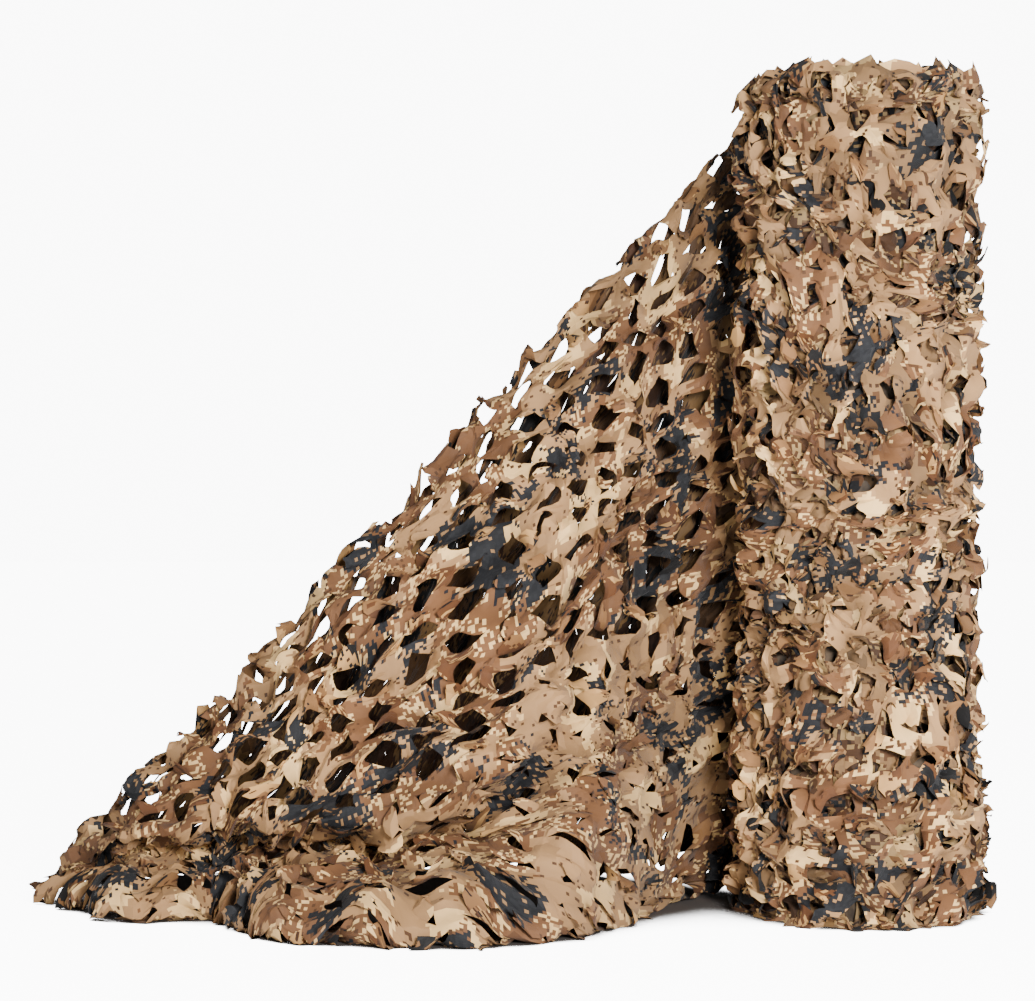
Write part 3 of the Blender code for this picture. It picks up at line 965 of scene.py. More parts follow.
        side_sign = np.where(first, 1.0, -1.0)
        shape_x = side_sign * (1.0 - 2.0 * share)
        lopped = share + each_lip(-cut.lop, cut.lop) * share * (1.0 - share)
        shape_y = side_sign * np.sin(math.pi * lopped) ** each_lip(*cut.fullness)
        open_share = self.open[:, None]
        length = self.random(*cut.gap_length)[:, None]
        width = self.random(*cut.gap_width)[:, None] * open_share
        tilt = self.random(-cut.tilt, cut.tilt)[:, None]
        bow = (self.random(*cut.bow) * np.sign(self.random(-1.0, 1.0)))[:, None]
        x = length * shape_x
        y = width * shape_y + bow * (0.5 - shape_x ** 2)
        shift_x, shift_y = (self.random(-cut.middle_shift, cut.middle_shift)[:, None] for _ in range(2))
        lip_x = np.clip(0.5 + x * np.cos(tilt) - y * np.sin(tilt) + shift_x, *CELL_MARGIN)
        lip_y = np.clip(0.5 + x * np.sin(tilt) + y * np.cos(tilt) + shift_y, *CELL_MARGIN)
        lean = each_lip(*cut.lean) * cut.lip_lift * open_share
        lip_lift = lean * np.abs(shape_y)
        flat = np.zeros((self.count, LOOP))
        creases = self.dice.uniform(-cut.crease, cut.crease, (2, self.count, LOOP // 2))
        creases = np.repeat(creases, 2, axis=2)
        creases = (creases + np.roll(creases, 1, axis=2)) / 2
        pairs = ((border_x, lip_x), (border_y, lip_y))
        layers = [(border, (border + lip) / 2, lip) for border, lip in pairs]
        half_way, at_lip = RING_LIFTS
        layers.append((flat, half_way * lip_lift + creases[0], lip_lift + at_lip * creases[1]))
        return np.stack([np.stack(layer, axis=1) for layer in layers])

    def cell_leaves(self, lips: Array) -> Array:
        """Lay out the leaf of every cell: the cut tongue, rooted on the upper lip and bent out.

        Args:
            lips: The lips' places along and across and their lifts, by cells and points.

        Returns:
            The leaves' places along and across, their lifts, and their places along and across before
            they were bent out, by cells, rows and points.
        """
        cut = self.cut
        roots = lips[..., LEAF_ROOT]
        along = lips[:2, :, GAP_ENDS[0]] - lips[:2, :, GAP_ENDS[1]]
        along = (along / np.hypot(*along))[..., None]
        aside = self.random(-cut.leaf_turn, cut.leaf_turn)[:, None]
        cosine, sine = np.cos(aside), np.sin(aside)
        down = np.stack((along[1] * cosine + along[0] * sine, along[1] * sine - along[0] * cosine))
        lively = 0.5 + 0.5 * self.open
        length = self.random(*cut.leaf_length) * (1.0 + SHUT_LENGTH - SHUT_LENGTH * lively)
        hanging = self.random(*cut.leaf_angle) * (1.0 - SHUT_HANG + SHUT_HANG * lively)
        folded = self.dice.random(self.count) < cut.folded_share * self.open ** FOLDED_POWER
        angle = np.where(folded, self.random(*cut.folded_angle), hanging)
        curl = self.random(*cut.leaf_curl)
        tip = self.random(*cut.leaf_tip)[:, None]
        skew = self.random(-cut.leaf_skew, cut.leaf_skew)[:, None]
        twist = self.random(-cut.leaf_twist, cut.leaf_twist)[:, None]
        centre = roots.mean(axis=-1, keepdims=True)
        across = np.linspace(-1.0, 1.0, LEAF_COLUMNS)[None, :]
        reach, rise = np.zeros((2, self.count))
        rows = []
        for row in range(LEAF_ROWS):
            reach = reach + np.cos(angle) * length / LEAF_ROWS
            rise = rise + np.sin(angle) * length / LEAF_ROWS
            angle = angle + curl
            share = (row + 1) / LEAF_ROWS
            taper = LEAF_WIDTHS[row] * (tip if row == LEAF_ROWS - 1 else 1.0)
            base = centre + (roots - centre) * taper
            level = base[:2] + along * skew * share
            round_off = cut.leaf_round * share * across ** 2
            bent = CUT_PITCH * (rise[:, None] + twist * across * share)
            rows.append(np.stack((
                *(level + down * (reach[:, None] - round_off)),
                base[2] + bent + LEAF_GAP,
                *(level + down * (share * length[:, None] - round_off)),
            )))
        return np.stack(rows, axis=2)

    def turned(self, places: Array) -> Array:
        """Turn every cell's layout by its own number of quarter turns, and move it to its cell.

        Args:
            places: Places along and across, inside the cells.

        Returns:
            The places on the web, in cells.
        """
        x, y = places
        shape = (-1,) + (1,) * (x.ndim - 1)
        quarter = self.quarter.reshape(shape)
        cases = [quarter == 0, quarter == 1, quarter == 2]
        turned = (np.select(cases, [x, 1 - y, 1 - x], y), np.select(cases, [y, x, 1 - y], 1 - x))
        return np.stack(turned) + np.stack((self.column, self.row)).reshape((2,) + shape)

    def shared_border(self, places: Array) -> tuple[Array, Array]:
        """Join the borders of neighbouring cells, and draw the free edges out into leaf tips.

        Args:
            places: The borders' places along and across, in cells.

        Returns:
            The index of each border point among the joined ones, and the joined ones' places.
        """
        fine = np.rint(places * SIDE_STEPS).astype(np.int64)
        keys = fine[0] * (self.rows * SIDE_STEPS + 1) + fine[1]
        _, first, shared = np.unique(keys, return_index=True, return_inverse=True)
        fine = fine.reshape(2, -1)[:, first]
        column, row = fine // SIDE_STEPS + 1
        on_line = fine % SIDE_STEPS == 0
        tooth = self.dice.uniform(*TIP_SHARES, len(first))
        tips = np.array(TIP_SHAPE)[fine % SIDE_STEPS][::-1]
        beside = np.stack((self.kept[column - 1, row], self.kept[column, row - 1])).astype(float)
        out = beside - self.kept[column, row]
        shift = np.where(on_line & ~on_line[::-1], out * tips * tooth, 0.0)
        return shared.reshape(keys.shape), fine / SIDE_STEPS + shift

    def faces(self, border: Array, border_count: int) -> Array:
        """List the web's faces.

        Args:
            border: The index of each cell's border points.
            border_count: How many border points there are.

        Returns:
            The four corners of each face.
        """
        inner = border_count + np.arange(self.count * 2 * LOOP).reshape(self.count, 2, LOOP)
        rings = np.concatenate((border[:, None, :], inner), axis=1)
        leaf = border_count + inner.size + np.arange(self.count * LEAF_ROWS * LEAF_COLUMNS)
        leaf = leaf.reshape(self.count, LEAF_ROWS, LEAF_COLUMNS)
        leaf = np.concatenate((rings[:, 2, None, LEAF_ROOT], leaf), axis=1)
        quads = []
        for ring in range(2):
            outer, lip = rings[:, ring], rings[:, ring + 1]
            ahead, lip_ahead = np.roll(outer, -1, axis=1), np.roll(lip, -1, axis=1)
            quads.append(np.stack((outer, ahead, lip_ahead, lip), axis=-1).reshape(-1, 4))
        corners = (leaf[:, :-1, :-1], leaf[:, :-1, 1:], leaf[:, 1:, 1:], leaf[:, 1:, :-1])
        quads.append(np.stack(corners, axis=-1).reshape(-1, 4))
        return np.concatenate(quads)

    def make_object(self, name: str, points: Array, faces: Array, flat: Array) -> Object:
        """Make the web's object, with its flat places as the UV map.

        Args:
            name: The object's name.
            points: The web's points.
            faces: The corners of its faces.
            flat: The points' places along and across the flat web, in cells.

        Returns:
            The object.
        """
        mesh = bpy.data.meshes.new(name)
        mesh.from_pydata(points.tolist(), [], faces.tolist())
        layer = mesh.uv_layers.new(name="flat")
        corners = np.empty(len(mesh.loops), dtype=np.int32)
        mesh.loops.foreach_get("vertex_index", corners)
        places = flat.T[corners] * self.pitch
        layer.data.foreach_set("uv", places.astype(np.float32).ravel())
        mesh.validate(clean_customdata=False)
        mesh.shade_smooth()
        mesh.set_sharp_from_angle(angle=SHARP_ANGLE)
        return add_object(name, mesh)


@dataclass(frozen=True)
class Colour:
    """A colour, in linear red, green and blue."""

    red: float
    green: float
    blue: float

    def rgba(self, share: float = 1.0) -> tuple[float, float, float, float]:
        """Return the colour, darkened to a share, as Blender takes it."""
        return (self.red * share, self.green * share, self.blue * share, 1.0)


WHITE = Colour(1.0, 1.0, 1.0).rgba()


@dataclass
class NodeKit:
    """A node tree that is built with one call for each node."""

    tree: bpy.types.NodeTree

    def add(self, kind: str, inputs: dict, output: int | str = 0, **settings: object) -> Socket:
        """Add a node and feed it.

        Args:
            kind: The node's type, without its leading "ShaderNode".
            inputs: A socket to link or a value to set, by the input's name or number.
            output: The name or number of the output to return.
            settings: The node's own settings.

        Returns:
            The output.
        """
        node = self.tree.nodes.new("ShaderNode" + kind)
        for name, value in settings.items():
            setattr(node, name, value)
        self.feed(node, inputs)
        return node.outputs[output]

    def feed(self, node: bpy.types.Node, inputs: dict) -> None:
        """Link or set a node's inputs.

        Args:
            node: The node.
            inputs: A socket to link or a value to set, by the input's name or number.
        """
        for name, value in inputs.items():
            if isinstance(value, Socket):
                self.tree.links.new(value, node.inputs[name])
            else:
                node.inputs[name].default_value = value

    def math(self, operation: str, first: object, second: object) -> Socket:
        """Return a sum, product or comparison of two values or sockets."""
        return self.add("Math", {0: first, 1: second}, operation=operation)

    def mix(self, factor: object, below: object, above: object, blend: str = "MIX") -> Socket:
        """Return one colour laid over another."""
        inputs = {"Factor": factor, "A": below, "B": above}
        return self.add("Mix", inputs, "Result", data_type="RGBA", blend_type=blend)

    def rise(self, value: Socket, low: float, high: float) -> Socket:
        """Return a smooth rise from 0 to 1 between two values."""
        inputs = {"Value": value, "From Min": low, "From Max": high}
        return self.add("MapRange", inputs, "Result", interpolation_type="SMOOTHSTEP")


def open_group(name: str, output: str, kind: str) -> tuple[NodeKit, Socket, bpy.types.Node]:
    """Start a node group that turns a place into one value.

    Args:
        name: The group's name.
        output: The name of what it puts out.
        kind: The type of that, without its leading "NodeSocket".

    Returns:
        The group's tree, the place that comes in, and the node that takes the result.
    """
    tree = bpy.data.node_groups.new(name, "ShaderNodeTree")
    tree.interface.new_socket("Vector", in_out="INPUT", socket_type="NodeSocketVector")
    tree.interface.new_socket(output, in_out="OUTPUT", socket_type="NodeSocket" + kind)
    source = tree.nodes.new("NodeGroupInput")
    return NodeKit(tree), source.outputs["Vector"], tree.nodes.new("NodeGroupOutput")


def open_material(name: str) -> tuple[bpy.types.Material, NodeKit, bpy.types.Node]:
    """Start a material.

    Args:
        name: The material's name.

    Returns:
        The material, its tree, and its surface shader.
    """
    material = bpy.data.materials.new(name)
    material.use_nodes = True
    return material, NodeKit(material.node_tree), material.node_tree.nodes["Principled BSDF"]


@dataclass(frozen=True)
class CamouflagePrint:
    """The generic pixel print: tan ground, brown and charcoal blotches, and specks of two tones."""

    pixel: float = 0.0050
    tan: Colour = Colour(0.402, 0.223, 0.096)
    light: Colour = Colour(0.870, 0.548, 0.228)
    brown: Colour = Colour(0.180, 0.080, 0.033)
    charcoal: Colour = Colour(0.013, 0.0135, 0.0155)
    light_above: float = 0.575
    brown_above: float = 0.53
    dark_above: float = 0.640
    near_dark_above: float = 0.585
    ragged: float = 0.20

    @cache
    def group(self) -> bpy.types.NodeTree:
        """Return the print's node group, made once.

        Returns:
            A group that turns a flat place into a colour.
        """
        kit, place, result = open_group("pixel_camouflage", "Colour", "Color")
        snapped = kit.add("VectorMath", {0: place, 1: (self.pixel,) * 3}, operation="SNAP")

        def moved(shift: float) -> Socket:
            """Return the snapped place, moved by a shift."""
            return kit.add("VectorMath", {0: snapped, 1: (shift, shift * 0.37, 0.5)}, operation="ADD")

        def noise(scale: float, detail: float, shift: float) -> Socket:
            """Return a noise of the snapped place."""
            inputs = {"Vector": moved(shift), "Scale": scale, "Detail": detail, "Roughness": 0.55}
            return kit.add("TexNoise", inputs, noise_dimensions="2D")

        def above(value: Socket, limit: float) -> Socket:
            """Return 1 where a value is above a limit."""
            return kit.math("GREATER_THAN", value, limit)

        def specks(shift: float, limit: float) -> Socket:
            """Return 1 for single pixels, fewer of them the higher the limit is."""
            value = kit.add("TexWhiteNoise", {"Vector": moved(shift)}, "Value", noise_dimensions="3D")
            return above(value, limit)

        ragged = kit.math("MULTIPLY", kit.math("SUBTRACT", noise(55.0, 0.0, 3.1), 0.5), self.ragged)
        brown_field, dark_field, light_field = (
            kit.math("ADD", noise(scale, 1.0, shift), ragged)
            for scale, shift in ((5.5, 0.0), (7.5, 17.3), (9.0, 29.9))
        )
        brown = above(brown_field, self.brown_above)
        dark = above(dark_field, self.dark_above)
        near_dark = above(dark_field, self.near_dark_above)
        clusters = kit.math("MULTIPLY", brown, above(noise(21.0, 1.0, 41.7), 0.50))
        layers = (
            (above(light_field, self.light_above), self.light.rgba()),
            (brown, self.brown.rgba()),
            (kit.math("MULTIPLY", specks(1.7, 0.60), clusters), self.light.rgba(0.9)),
            (specks(5.3, 0.955), self.brown.rgba(0.5)),
            (dark, self.charcoal.rgba()),
            (kit.math("MULTIPLY", specks(9.1, 0.72), near_dark), self.charcoal.rgba(1.3)),
            (kit.math("MULTIPLY", specks(13.9, 0.90), dark), self.tan.rgba(0.8)),
        )
        colour = self.tan.rgba()
        for mask, tone in layers:
            colour = kit.mix(mask, colour, tone)
        kit.feed(result, {"Colour": colour})
        return kit.tree


@cache
def crumple_group() -> bpy.types.NodeTree:
    """Return the node group of the cloth's fine relief, made once.

    Returns:
        A group that turns a flat place into a height: soft crumples, and the weave.
    """
    kit, place, result = open_group("crumpled_weave", "Height", "Float")
    soft = kit.add("TexNoise", {"Vector": place, "Scale": 30.0, "Detail": 2.0})
    crumple = kit.math("ABSOLUTE", kit.math("SUBTRACT", soft, 0.5), 0.0)
    weave = kit.add("TexWave", {"Vector": place, "Scale": 420.0, "Distortion": 1.0}, "Fac")
    height = kit.math("ADD", crumple, kit.math("MULTIPLY", weave, 0.04))
    kit.feed(result, {"Height": height})
    return kit.tree


@dataclass(frozen=True)
class WebFinish:
    """The printed cloth's finish: thin coated polyester, matt with a slight sheen."""

    name: str
    roughness: float = 0.60
    sheen: float = 0.04
    sheen_roughness: float = 0.50
    gloss: float = 0.20
    back_tint: Colour = Colour(1.00, 0.86, 0.74)
    bump: float = 0.60
    bump_depth: float = 0.010

    def material(self) -> bpy.types.Material:
        """Return the finish as a material that reads the piece's own flat map.

        Returns:
            The material. Painted shade darkens its colour: by the web's depth attribute, and from
            underneath by its underside attribute.
        """
        material, kit, shader = open_material(self.name)
        flat = kit.add("UVMap", {}, "UV", uv_map="flat")
        printed = kit.add("Group", {}, "Colour", node_tree=CamouflagePrint().group())
        relief = kit.add("Group", {}, "Height", node_tree=crumple_group())
        kit.feed(printed.node, {"Vector": flat})
        kit.feed(relief.node, {"Vector": flat})
        under = kit.add("NewGeometry", {}, "Backfacing")
        # Painted shade: the print is multiplied by the depth attribute, and on undersides by the underside
        # attribute.
        depth = kit.add("Attribute", {}, "Fac", attribute_name="depth")
        # Painted shade on undersides: the print is darkened where the back face is seen.
        underside_shade = kit.add("Attribute", {}, "Fac", attribute_name="underside_shade")
        side = kit.add("Mix", {"Factor": under, "A": 1.0, "B": underside_shade}, "Result")
        tinted = kit.mix(under, printed, self.back_tint.rgba(), "MULTIPLY")
        bump = {"Strength": self.bump, "Distance": self.bump_depth, "Height": relief}
        kit.feed(shader, {
            "Base Color": kit.mix(1.0, tinted, kit.math("MULTIPLY", depth, side), "MULTIPLY"),
            "Normal": kit.add("Bump", bump, "Normal"),
            "Roughness": self.roughness,
            "Specular IOR Level": self.gloss,
            "Sheen Weight": self.sheen,
            "Sheen Roughness": self.sheen_roughness,
        })
        return material


@dataclass
class LooseEnd(CutStance):
    """The loose end of the net, draped from its ridge to the floor on both sides.

    Args:
        columns: How many cuts lie along it.
        seed: A whole number that picks the cuts' unevenness.
        form: Its smooth form.
        slack_shut: How far the slack web's cuts are shut, far from the roll and how much more near it.
        roll_shut: How far the cuts by the roll are shut.
        slack_relief: How much further the slack web stands off.
        back_relief: How much less the back layer does.
        slack_swell: How much less the slack web's hubs lift.
        shades: How much darker its colour is painted, as shade, in the valley by the roll, in the puddle
            and along the ridge.
        underside_shades: The painted shade of the underside: its brightness in the tent, and how much more
            it has in the front layer.
    """

    columns: int = LOOSE_COLUMNS
    seed: int = 11
    form: DrapedForm = field(default_factory=DrapedForm)
    slack_shut: tuple = (0.44, 0.17)
    roll_shut: float = 0.25
    slack_relief: float = 0.15
    back_relief: float = 0.22
    slack_swell: float = 0.55
    shades: tuple = (0.26, 0.20, 0.26)
    underside_shades: tuple = (0.23, 0.20)
    flat_area: float = field(init=False)

    def openness(self, u: Array, v: Array) -> Array:
        """Return how far the cuts stand open: wide in the front face, shut behind.

        Args:
            u: Places along the surface, from 0 to 1.
            v: Places across it.

        Returns:
            The openness, from 0 to 1.
        """
        near_roll = 1.0 - ease(0.0, 0.16, u)
        across = self.form.across(u, v)
        shut = self.slack_shut[0] + self.slack_shut[1] * (1.0 - ease(0.40, 0.60, u))
        front_open = (1.0 - shut * self.slack(u, v)) * (1.0 - self.roll_shut * near_roll)
        back_open = 1.0 - ease(0.06, 0.24, -across)
        return np.where(across > 0.0, front_open, back_open)

    def slack(self, u: Array, v: Array) -> Array:
        """Return how slack the web is: 0 where it hangs, 1 in the puddled part of the front layer.

        Args:
            u: Places along the surface, from 0 to 1.
            v: Places across it.

        Returns:
            The slackness, from 0 to 1.
        """
        run = self.form.run_at(u)
        ridges = [(station.run, station.ridge_z) for station in STATIONS]
        ridge_z = np.interp(run, *zip(*ridges))
        hanging = np.maximum(ridge_z - np.interp(run, LIP_RUNS, LIP_HEIGHTS), 0.05) * 1.05
        return ease(0.85, 1.20, self.form.across(u, v) / hanging)

    def relief(self, u: Array, v: Array) -> Array:
        """Return how far the web may stand off its form: little at the roll, less behind."""
        by_roll = 0.25 + 0.75 * ease(0.02, 0.10, u)
        behind = ease(0.05, 0.25, -self.form.across(u, v))
        return by_roll * (1.0 + self.slack_relief * self.slack(u, v)) * (1.0 - self.back_relief * behind)

    def swell(self, u: Array, v: Array) -> Array:
        """Return how much the hubs lift and slope: less where the web is slack and lies flat."""
        return 1.0 - self.slack_swell * self.slack(u, v)

    def shade(self, u: Array, v: Array) -> Array:
        """Return the painted shade: the colour darker by the roll, along the ridge and in the puddled
        part.
        """
        # Painted shade: darker in the valley between the tent and the roll, on the puddled part, which
        # faces the light, and along the ridge.
        valley = ease(0.03, 0.14, u) * (1.0 - ease(0.20, 0.42, u))
        near_ridge = 1.0 - ease(0.05, 0.26, self.form.across(u, v))
        in_valley, in_puddle, on_ridge = self.shades
        slack = self.slack(u, v)
        return (1.0 - in_valley * valley) * (1.0 - in_puddle * slack) * (1.0 - on_ridge * near_ridge)

    def underside_shade(self, u: Array, v: Array) -> Array:
        """Return the painted shade of the underside: the back layer's is painted as the tent's deep shade.
        """
        return self.underside_shades[0] + self.underside_shades[1] * ease(-0.15, 0.0, self.form.across(u, v))

    def forward(self, u: Array, v: Array) -> Array:
        """Return True on the front layer, where leaves hang towards the front hem."""
        return self.form.across(u, v) > 0.0

    def inside(self, u: Array, v: Array) -> Array:
        """Return True where the form has cloth."""
        return self.form.inside(u, v)

    def build(self) -> Object:
        """Build the loose end's web."""
        surface = self.form.surface()
        pitch = (LOOSE_FLAT[0] / self.columns, CUT_PITCH)
        web = LeafWeb(
            surface=surface, columns=self.columns, rows=self.form.back_rows + self.form.front_rows,
            pitch=pitch, cut=LeafCut(), stance=self, seed=self.seed,
        )
        piece = web.build(Piece.DRAPED.value)
        self.flat_area = web.count * pitch[0] * pitch[1]
        return piece

    def dress(self, piece: Object, rests_on: list[str]) -> None:
        """Give the web its finish, hang it under the root body and hide its solid.

        Args:
            piece: The web.
            rests_on: The pieces that it leans on; not used.
        """
        piece.data.materials.append(WebFinish("draped_web").material())
        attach(piece, "root")
        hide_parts("loose_end")


@dataclass
class WoundRoll(CutStance):
    """The wound roll: its outer turns, its dark inside, and the edges of the inner turns."""

    rows: int = 25
    turn_columns: int = 22
    seed: int = 23
    inside_depth: float = 0.036
    inside_overlap: float = 0.005
    inside_sides: int = 64
    inside_cuts: int = 8
    edge_turn_pitch: float = 0.0125
    edge_inner: float = 0.020
    edge_outer: float = 0.022
    edge_drop: float = 0.060
    edge_rise: float = 0.002
    # Painted shade: the inner turns and the upper end are darker.
    turn_shades: tuple = (0.45, 0.30)
    top_shade: float = 0.20
    lap_calm: float = 0.75
    flat: tuple = field(init=False)

    def relief(self, u: Array, v: Array) -> Array:
        """Return how far the wound web may stand off its form: little behind the loose end."""
        angle = 2 * math.pi * SHOWN_TURNS * (u - 1.0)
        past_lap = (angle + math.pi) % (2 * math.pi) - math.pi
        return 1.0 - self.lap_calm * np.exp(-((past_lap - 0.35) / 0.45) ** 2)

    def shade(self, u: Array, v: Array) -> Array:
        """Return the painted shade of the wound web: darker on the inner turns and at the upper end."""
        turns_over = SHOWN_TURNS * (1.0 - u)
        second, third = self.turn_shades
        inner = second * ease(0.96, 1.04, turns_over) + third * ease(1.96, 2.04, turns_over)
        return (1.0 - inner) * (1.0 - self.top_shade * ease(0.68, 0.92, v))

    def build_turns(self) -> Object:
        """Build the outer turns as one wound web."""
        length = SHOWN_TURNS * 2 * math.pi * (ROLL_RADIUS - SHOWN_TURN_PITCH * SHOWN_TURNS / 2)
        self.flat = (length, ROLL_HEIGHT)
        columns = round(self.turn_columns * SHOWN_TURNS)
        web = LeafWeb(
            surface=RollForm().wound_surface(SHOWN_TURNS, SHOWN_TURN_PITCH), columns=columns,
            rows=self.rows, pitch=(length / columns, ROLL_HEIGHT / self.rows),
            cut=LeafCut(gap_width=(0.30, 0.46), tilt=0.80, wander=0.24, drift=0.80, hub_lift=0.012,
                        hub_slope=0.045, stand_off=0.030, leaf_length=(0.40, 0.75)),
            stance=self, seed=self.seed,
        )
        return web.build(Piece.WOUND.value)

    def build_edges(self) -> Object:
        """Build the upper edges of the inner turns, which show at the roll's top."""
        outer = ROLL_RADIUS - self.edge_outer
        low, high = ROLL_HEIGHT - self.edge_drop, ROLL_HEIGHT + self.edge_rise
        surface = RollForm().spiral_surface(self.edge_inner, outer, self.edge_turn_pitch, low, high)
        length = math.pi * (outer ** 2 - self.edge_inner ** 2) / self.edge_turn_pitch
        columns = round(length / CUT_PITCH)
        web = LeafWeb(
            surface=surface, columns=columns, rows=1, pitch=(length / columns, high - low),
            cut=LeafCut(lip_lift=0.005, hub_lift=0.004, hub_slope=0.006),
            stance=CutStance(open_share=0.5, relief_share=0.8), seed=self.seed + 5,
        )
        return web.build(Piece.TURN_EDGES.value)

    def build_inside(self) -> Object:
        """Build the roll's inside, which shows dark through the gaps of the outer turns."""
        height = ROLL_HEIGHT - self.edge_drop + self.inside_overlap
        bpy.ops.object.select_all(action="DESELECT")
        bpy.ops.mesh.primitive_cylinder_add(
            vertices=self.inside_sides, radius=ROLL_RADIUS - self.inside_depth, depth=height,
            location=(0.0, 0.0, height / 2 + FLOOR_LEVEL),
        )
        piece = bpy.context.active_object
        piece.name = Piece.INSIDE.value
        bpy.ops.object.transform_apply(location=True, rotation=True, scale=True)
        bpy.ops.object.mode_set(mode="EDIT")
        bpy.ops.mesh.select_all(action="SELECT")
        bpy.ops.mesh.subdivide(number_cuts=self.inside_cuts)
        bpy.ops.object.mode_set(mode="OBJECT")
        form = RollForm()
        for vertex in piece.data.vertices:
            x, y, z = vertex.co
            angle, level = math.atan2(y, x), np.clip(z, 0.0, ROLL_HEIGHT)
            swell = form.reach(np.array([angle]), np.array([level]))[0] - ROLL_RADIUS
            share = 1.0 + swell / ROLL_RADIUS
            vertex.co = (x * share, y * share, z)
        piece.data.shade_smooth()
        return piece

    def dress(self, turns: Object, edges: Object, inside: Object) -> None:
        """Give the roll's pieces their finishes, hang them under the root body and hide the roll's solid.

        Args:
            turns: The outer turns.
            edges: The upper edges of the inner turns.
            inside: The dark inside.
        """
        finishes = (WebFinish("wound_web"), WebFinish("wound_web_edge"), InsideFinish())
        for piece, finish in zip((turns, edges, inside), finishes):
            piece.data.materials.append(finish.material())
            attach(piece, "root")
            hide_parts("rolled_net")


@dataclass(frozen=True)
class InsideFinish:
    """The finish of the roll's inside: the same cloth, its colour painted dark as deep shade."""

    name: str = "inner_web"
    dark: Colour = Colour(0.012, 0.010, 0.008)
    pale: Colour = Colour(0.13, 0.085, 0.05)

    def material(self) -> bpy.types.Material:
        """Return the finish as a material on object coordinates.

        Returns:
            The material.
        """
        material, kit, shader = open_material(self.name)
        places = kit.add("TexCoord", {}, "Object")
        spots = kit.add("TexNoise", {"Vector": places, "Scale": 30.0, "Detail": 3.0})
        # Painted shade: the inner turns' cloth is coloured near black and dark brown.
        colour = kit.add("ValToRGB", {"Fac": spots}, "Color")
        ends = colour.node.color_ramp.elements
        for end, position, tone in zip(ends, (0.35, 0.75), (self.dark, self.pale)):
            end.position, end.color = position, tone.rgba()
        normal = kit.add("Bump", {"Distance": 0.004, "Height": spots}, "Normal")
        kit.feed(shader, {"Base Color": colour, "Roughness": 0.9, "Normal": normal})
        return material


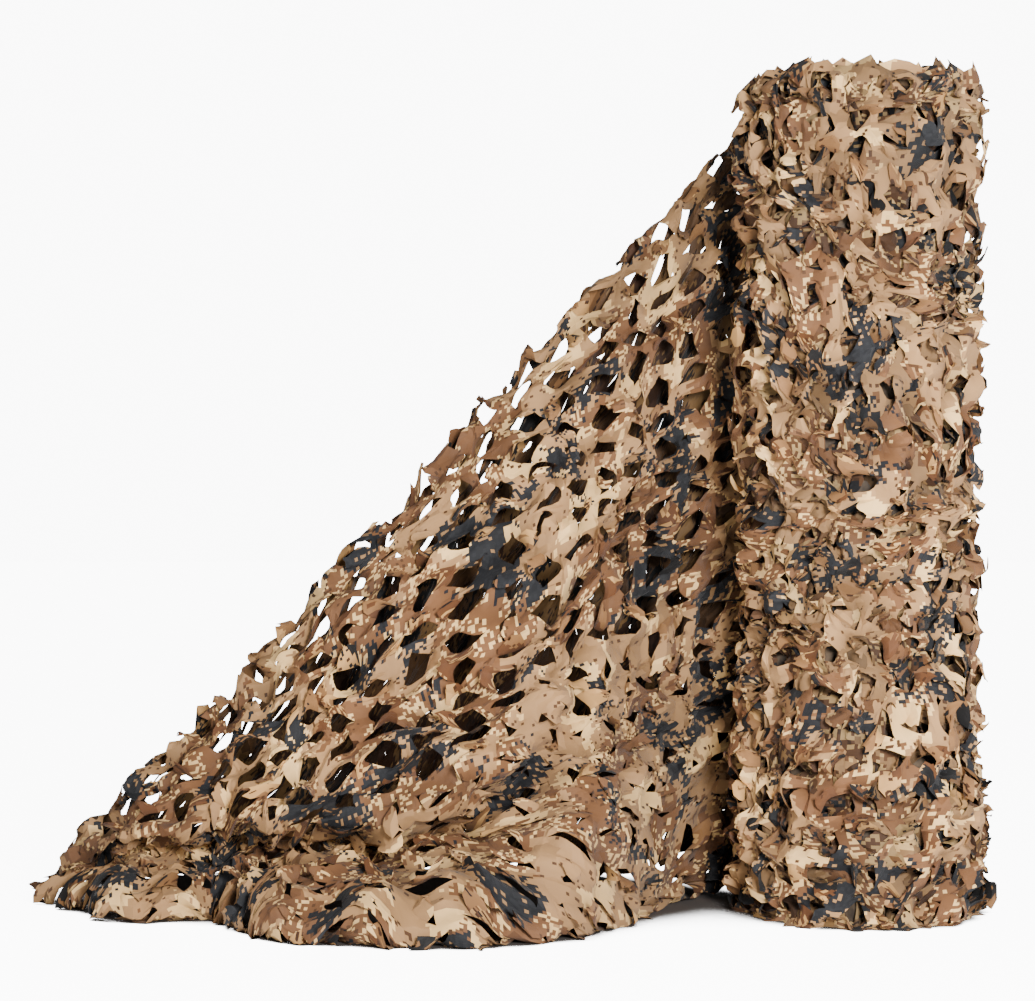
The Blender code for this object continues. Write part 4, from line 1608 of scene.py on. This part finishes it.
@dataclass
class Studio:
    """The pale floor with its painted shadow under the net, the soft light and the camera."""

    camera_place: tuple = (-0.613, -4.80, 0.78)
    camera_pitch: float = 0.48
    lens: float = 92.45
    ambient: float = 0.20
    backdrop: float = 10.0
    floor_glow: float = 10.0
    floor_bounce: float = 0.20
    # The painted shadow under the net: its centre, reach and edge, and the occlusion it follows.
    shade_centre: tuple = (-0.82, 0.14, 0.0)
    shade_reach: tuple = (0.66, 0.36, 1.0)
    shade_edge: tuple = (0.85, 1.05)
    sky_range: tuple = (0.24, 0.46)
    sky_reach: float = 0.80
    floor_shade: Colour = Colour(0.05, 0.04, 0.035)
    floor_tone: Colour = Colour(0.94, 0.94, 0.94)

    def build_camera(self) -> None:
        """Set up the camera at the photo's viewing angle."""
        data = bpy.data.cameras.new("camera")
        data.lens = self.lens
        data.sensor_width = 36.0
        camera = add_object("camera", data)
        camera.location = self.camera_place
        camera.rotation_euler = (math.radians(90.0 - self.camera_pitch), 0.0, 0.0)
        bpy.context.scene.camera = camera

    def add_light(self, name: str, place: tuple, aim: tuple, size: float, power: float) -> None:
        """Add a soft square light.

        Args:
            name: The light's name.
            place: Where it stands.
            aim: The point it faces.
            size: Its side, in metres.
            power: Its power, in watts.
        """
        data = bpy.data.lights.new(name, "AREA")
        data.size = size
        data.energy = power
        light = add_object(name, data)
        light.location = place
        light.rotation_euler = (Vector(aim) - Vector(place)).to_track_quat("-Z", "Y").to_euler()

    def build_lights(self) -> None:
        """Light the net from the front, with a weak fill from the left and a white backdrop."""
        self.add_light("key", (0.6, -4.4, 1.5), (-0.6, 0.0, 0.45), 0.9, 545.0)
        self.add_light("fill", (-3.0, -3.0, 1.2), (-0.5, 0.0, 0.4), 2.0, 40.0)
        world = bpy.data.worlds.new("studio")
        world.use_nodes = True
        kit = NodeKit(world.node_tree)
        soft = kit.tree.nodes["Background"]
        kit.feed(soft, {"Color": WHITE, "Strength": self.ambient})
        white = kit.add("Background", {"Color": WHITE, "Strength": self.backdrop})
        seen = kit.add("LightPath", {}, "Is Camera Ray")
        shown = kit.add("MixShader", {0: seen, 1: soft.outputs[0], 2: white})
        kit.feed(kit.tree.nodes["World Output"], {"Surface": shown})
        bpy.context.scene.world = world

    def build_floor(self) -> None:
        """Lay the pale floor, which glows softly where nothing stands over it, with a painted shadow
        darkening its colour and glow under the net.
        """
        bpy.ops.object.select_all(action="DESELECT")
        bpy.ops.mesh.primitive_plane_add(size=40.0, location=(0.0, 0.0, 0.0))
        floor = bpy.context.active_object
        floor.name = "floor"
        material, kit, shader = open_material("pale_floor")
        # Painted shadow: a patch under the net and the occlusion of things over the floor darken its
        # colour and its glow.
        place = kit.add("TexCoord", {}, "Object")
        from_middle = kit.add("VectorMath", {0: place, 1: self.shade_centre}, operation="SUBTRACT")
        shares = kit.add("VectorMath", {0: from_middle, 1: self.shade_reach}, operation="DIVIDE")
        distance = kit.add("VectorMath", {0: shares}, "Value", operation="LENGTH")
        sky = kit.add("AmbientOcclusion", {"Distance": self.sky_reach}, "AO")
        lit = kit.math("MULTIPLY", kit.rise(distance, *self.shade_edge), kit.rise(sky, *self.sky_range))
        seen = kit.add("LightPath", {}, "Is Camera Ray")
        glows = {0: seen, 1: self.floor_glow, 2: self.floor_bounce}
        glow = kit.add("Math", glows, operation="MULTIPLY_ADD")
        kit.feed(shader, {
            "Base Color": kit.mix(lit, self.floor_shade.rgba(), self.floor_tone.rgba()),
            "Roughness": 0.8,
            "Emission Color": WHITE,
            "Emission Strength": kit.math("MULTIPLY", lit, glow),
        })
        floor.data.materials.append(material)


def report(piece: Object) -> None:
    """Log a piece's name and its count of triangles."""
    triangles = sum(len(polygon.vertices) - 2 for polygon in piece.data.polygons)
    LOG.info("%s: %d triangles", piece.name, triangles)


def main() -> None:
    """Build the studio and every piece."""
    logging.basicConfig(level=logging.INFO)
    studio = Studio()
    studio.build_camera()
    studio.build_lights()
    studio.build_floor()

    roll = WoundRoll()
    turns = roll.build_turns()
    edges = roll.build_edges()
    inside = roll.build_inside()
    roll.dress(turns, edges, inside)

    loose = LooseEnd()
    draped = loose.build()
    loose.dress(draped, [turns.name])

    for piece in (turns, edges, inside, draped):
        report(piece)


if __name__ == "__main__":
    main()
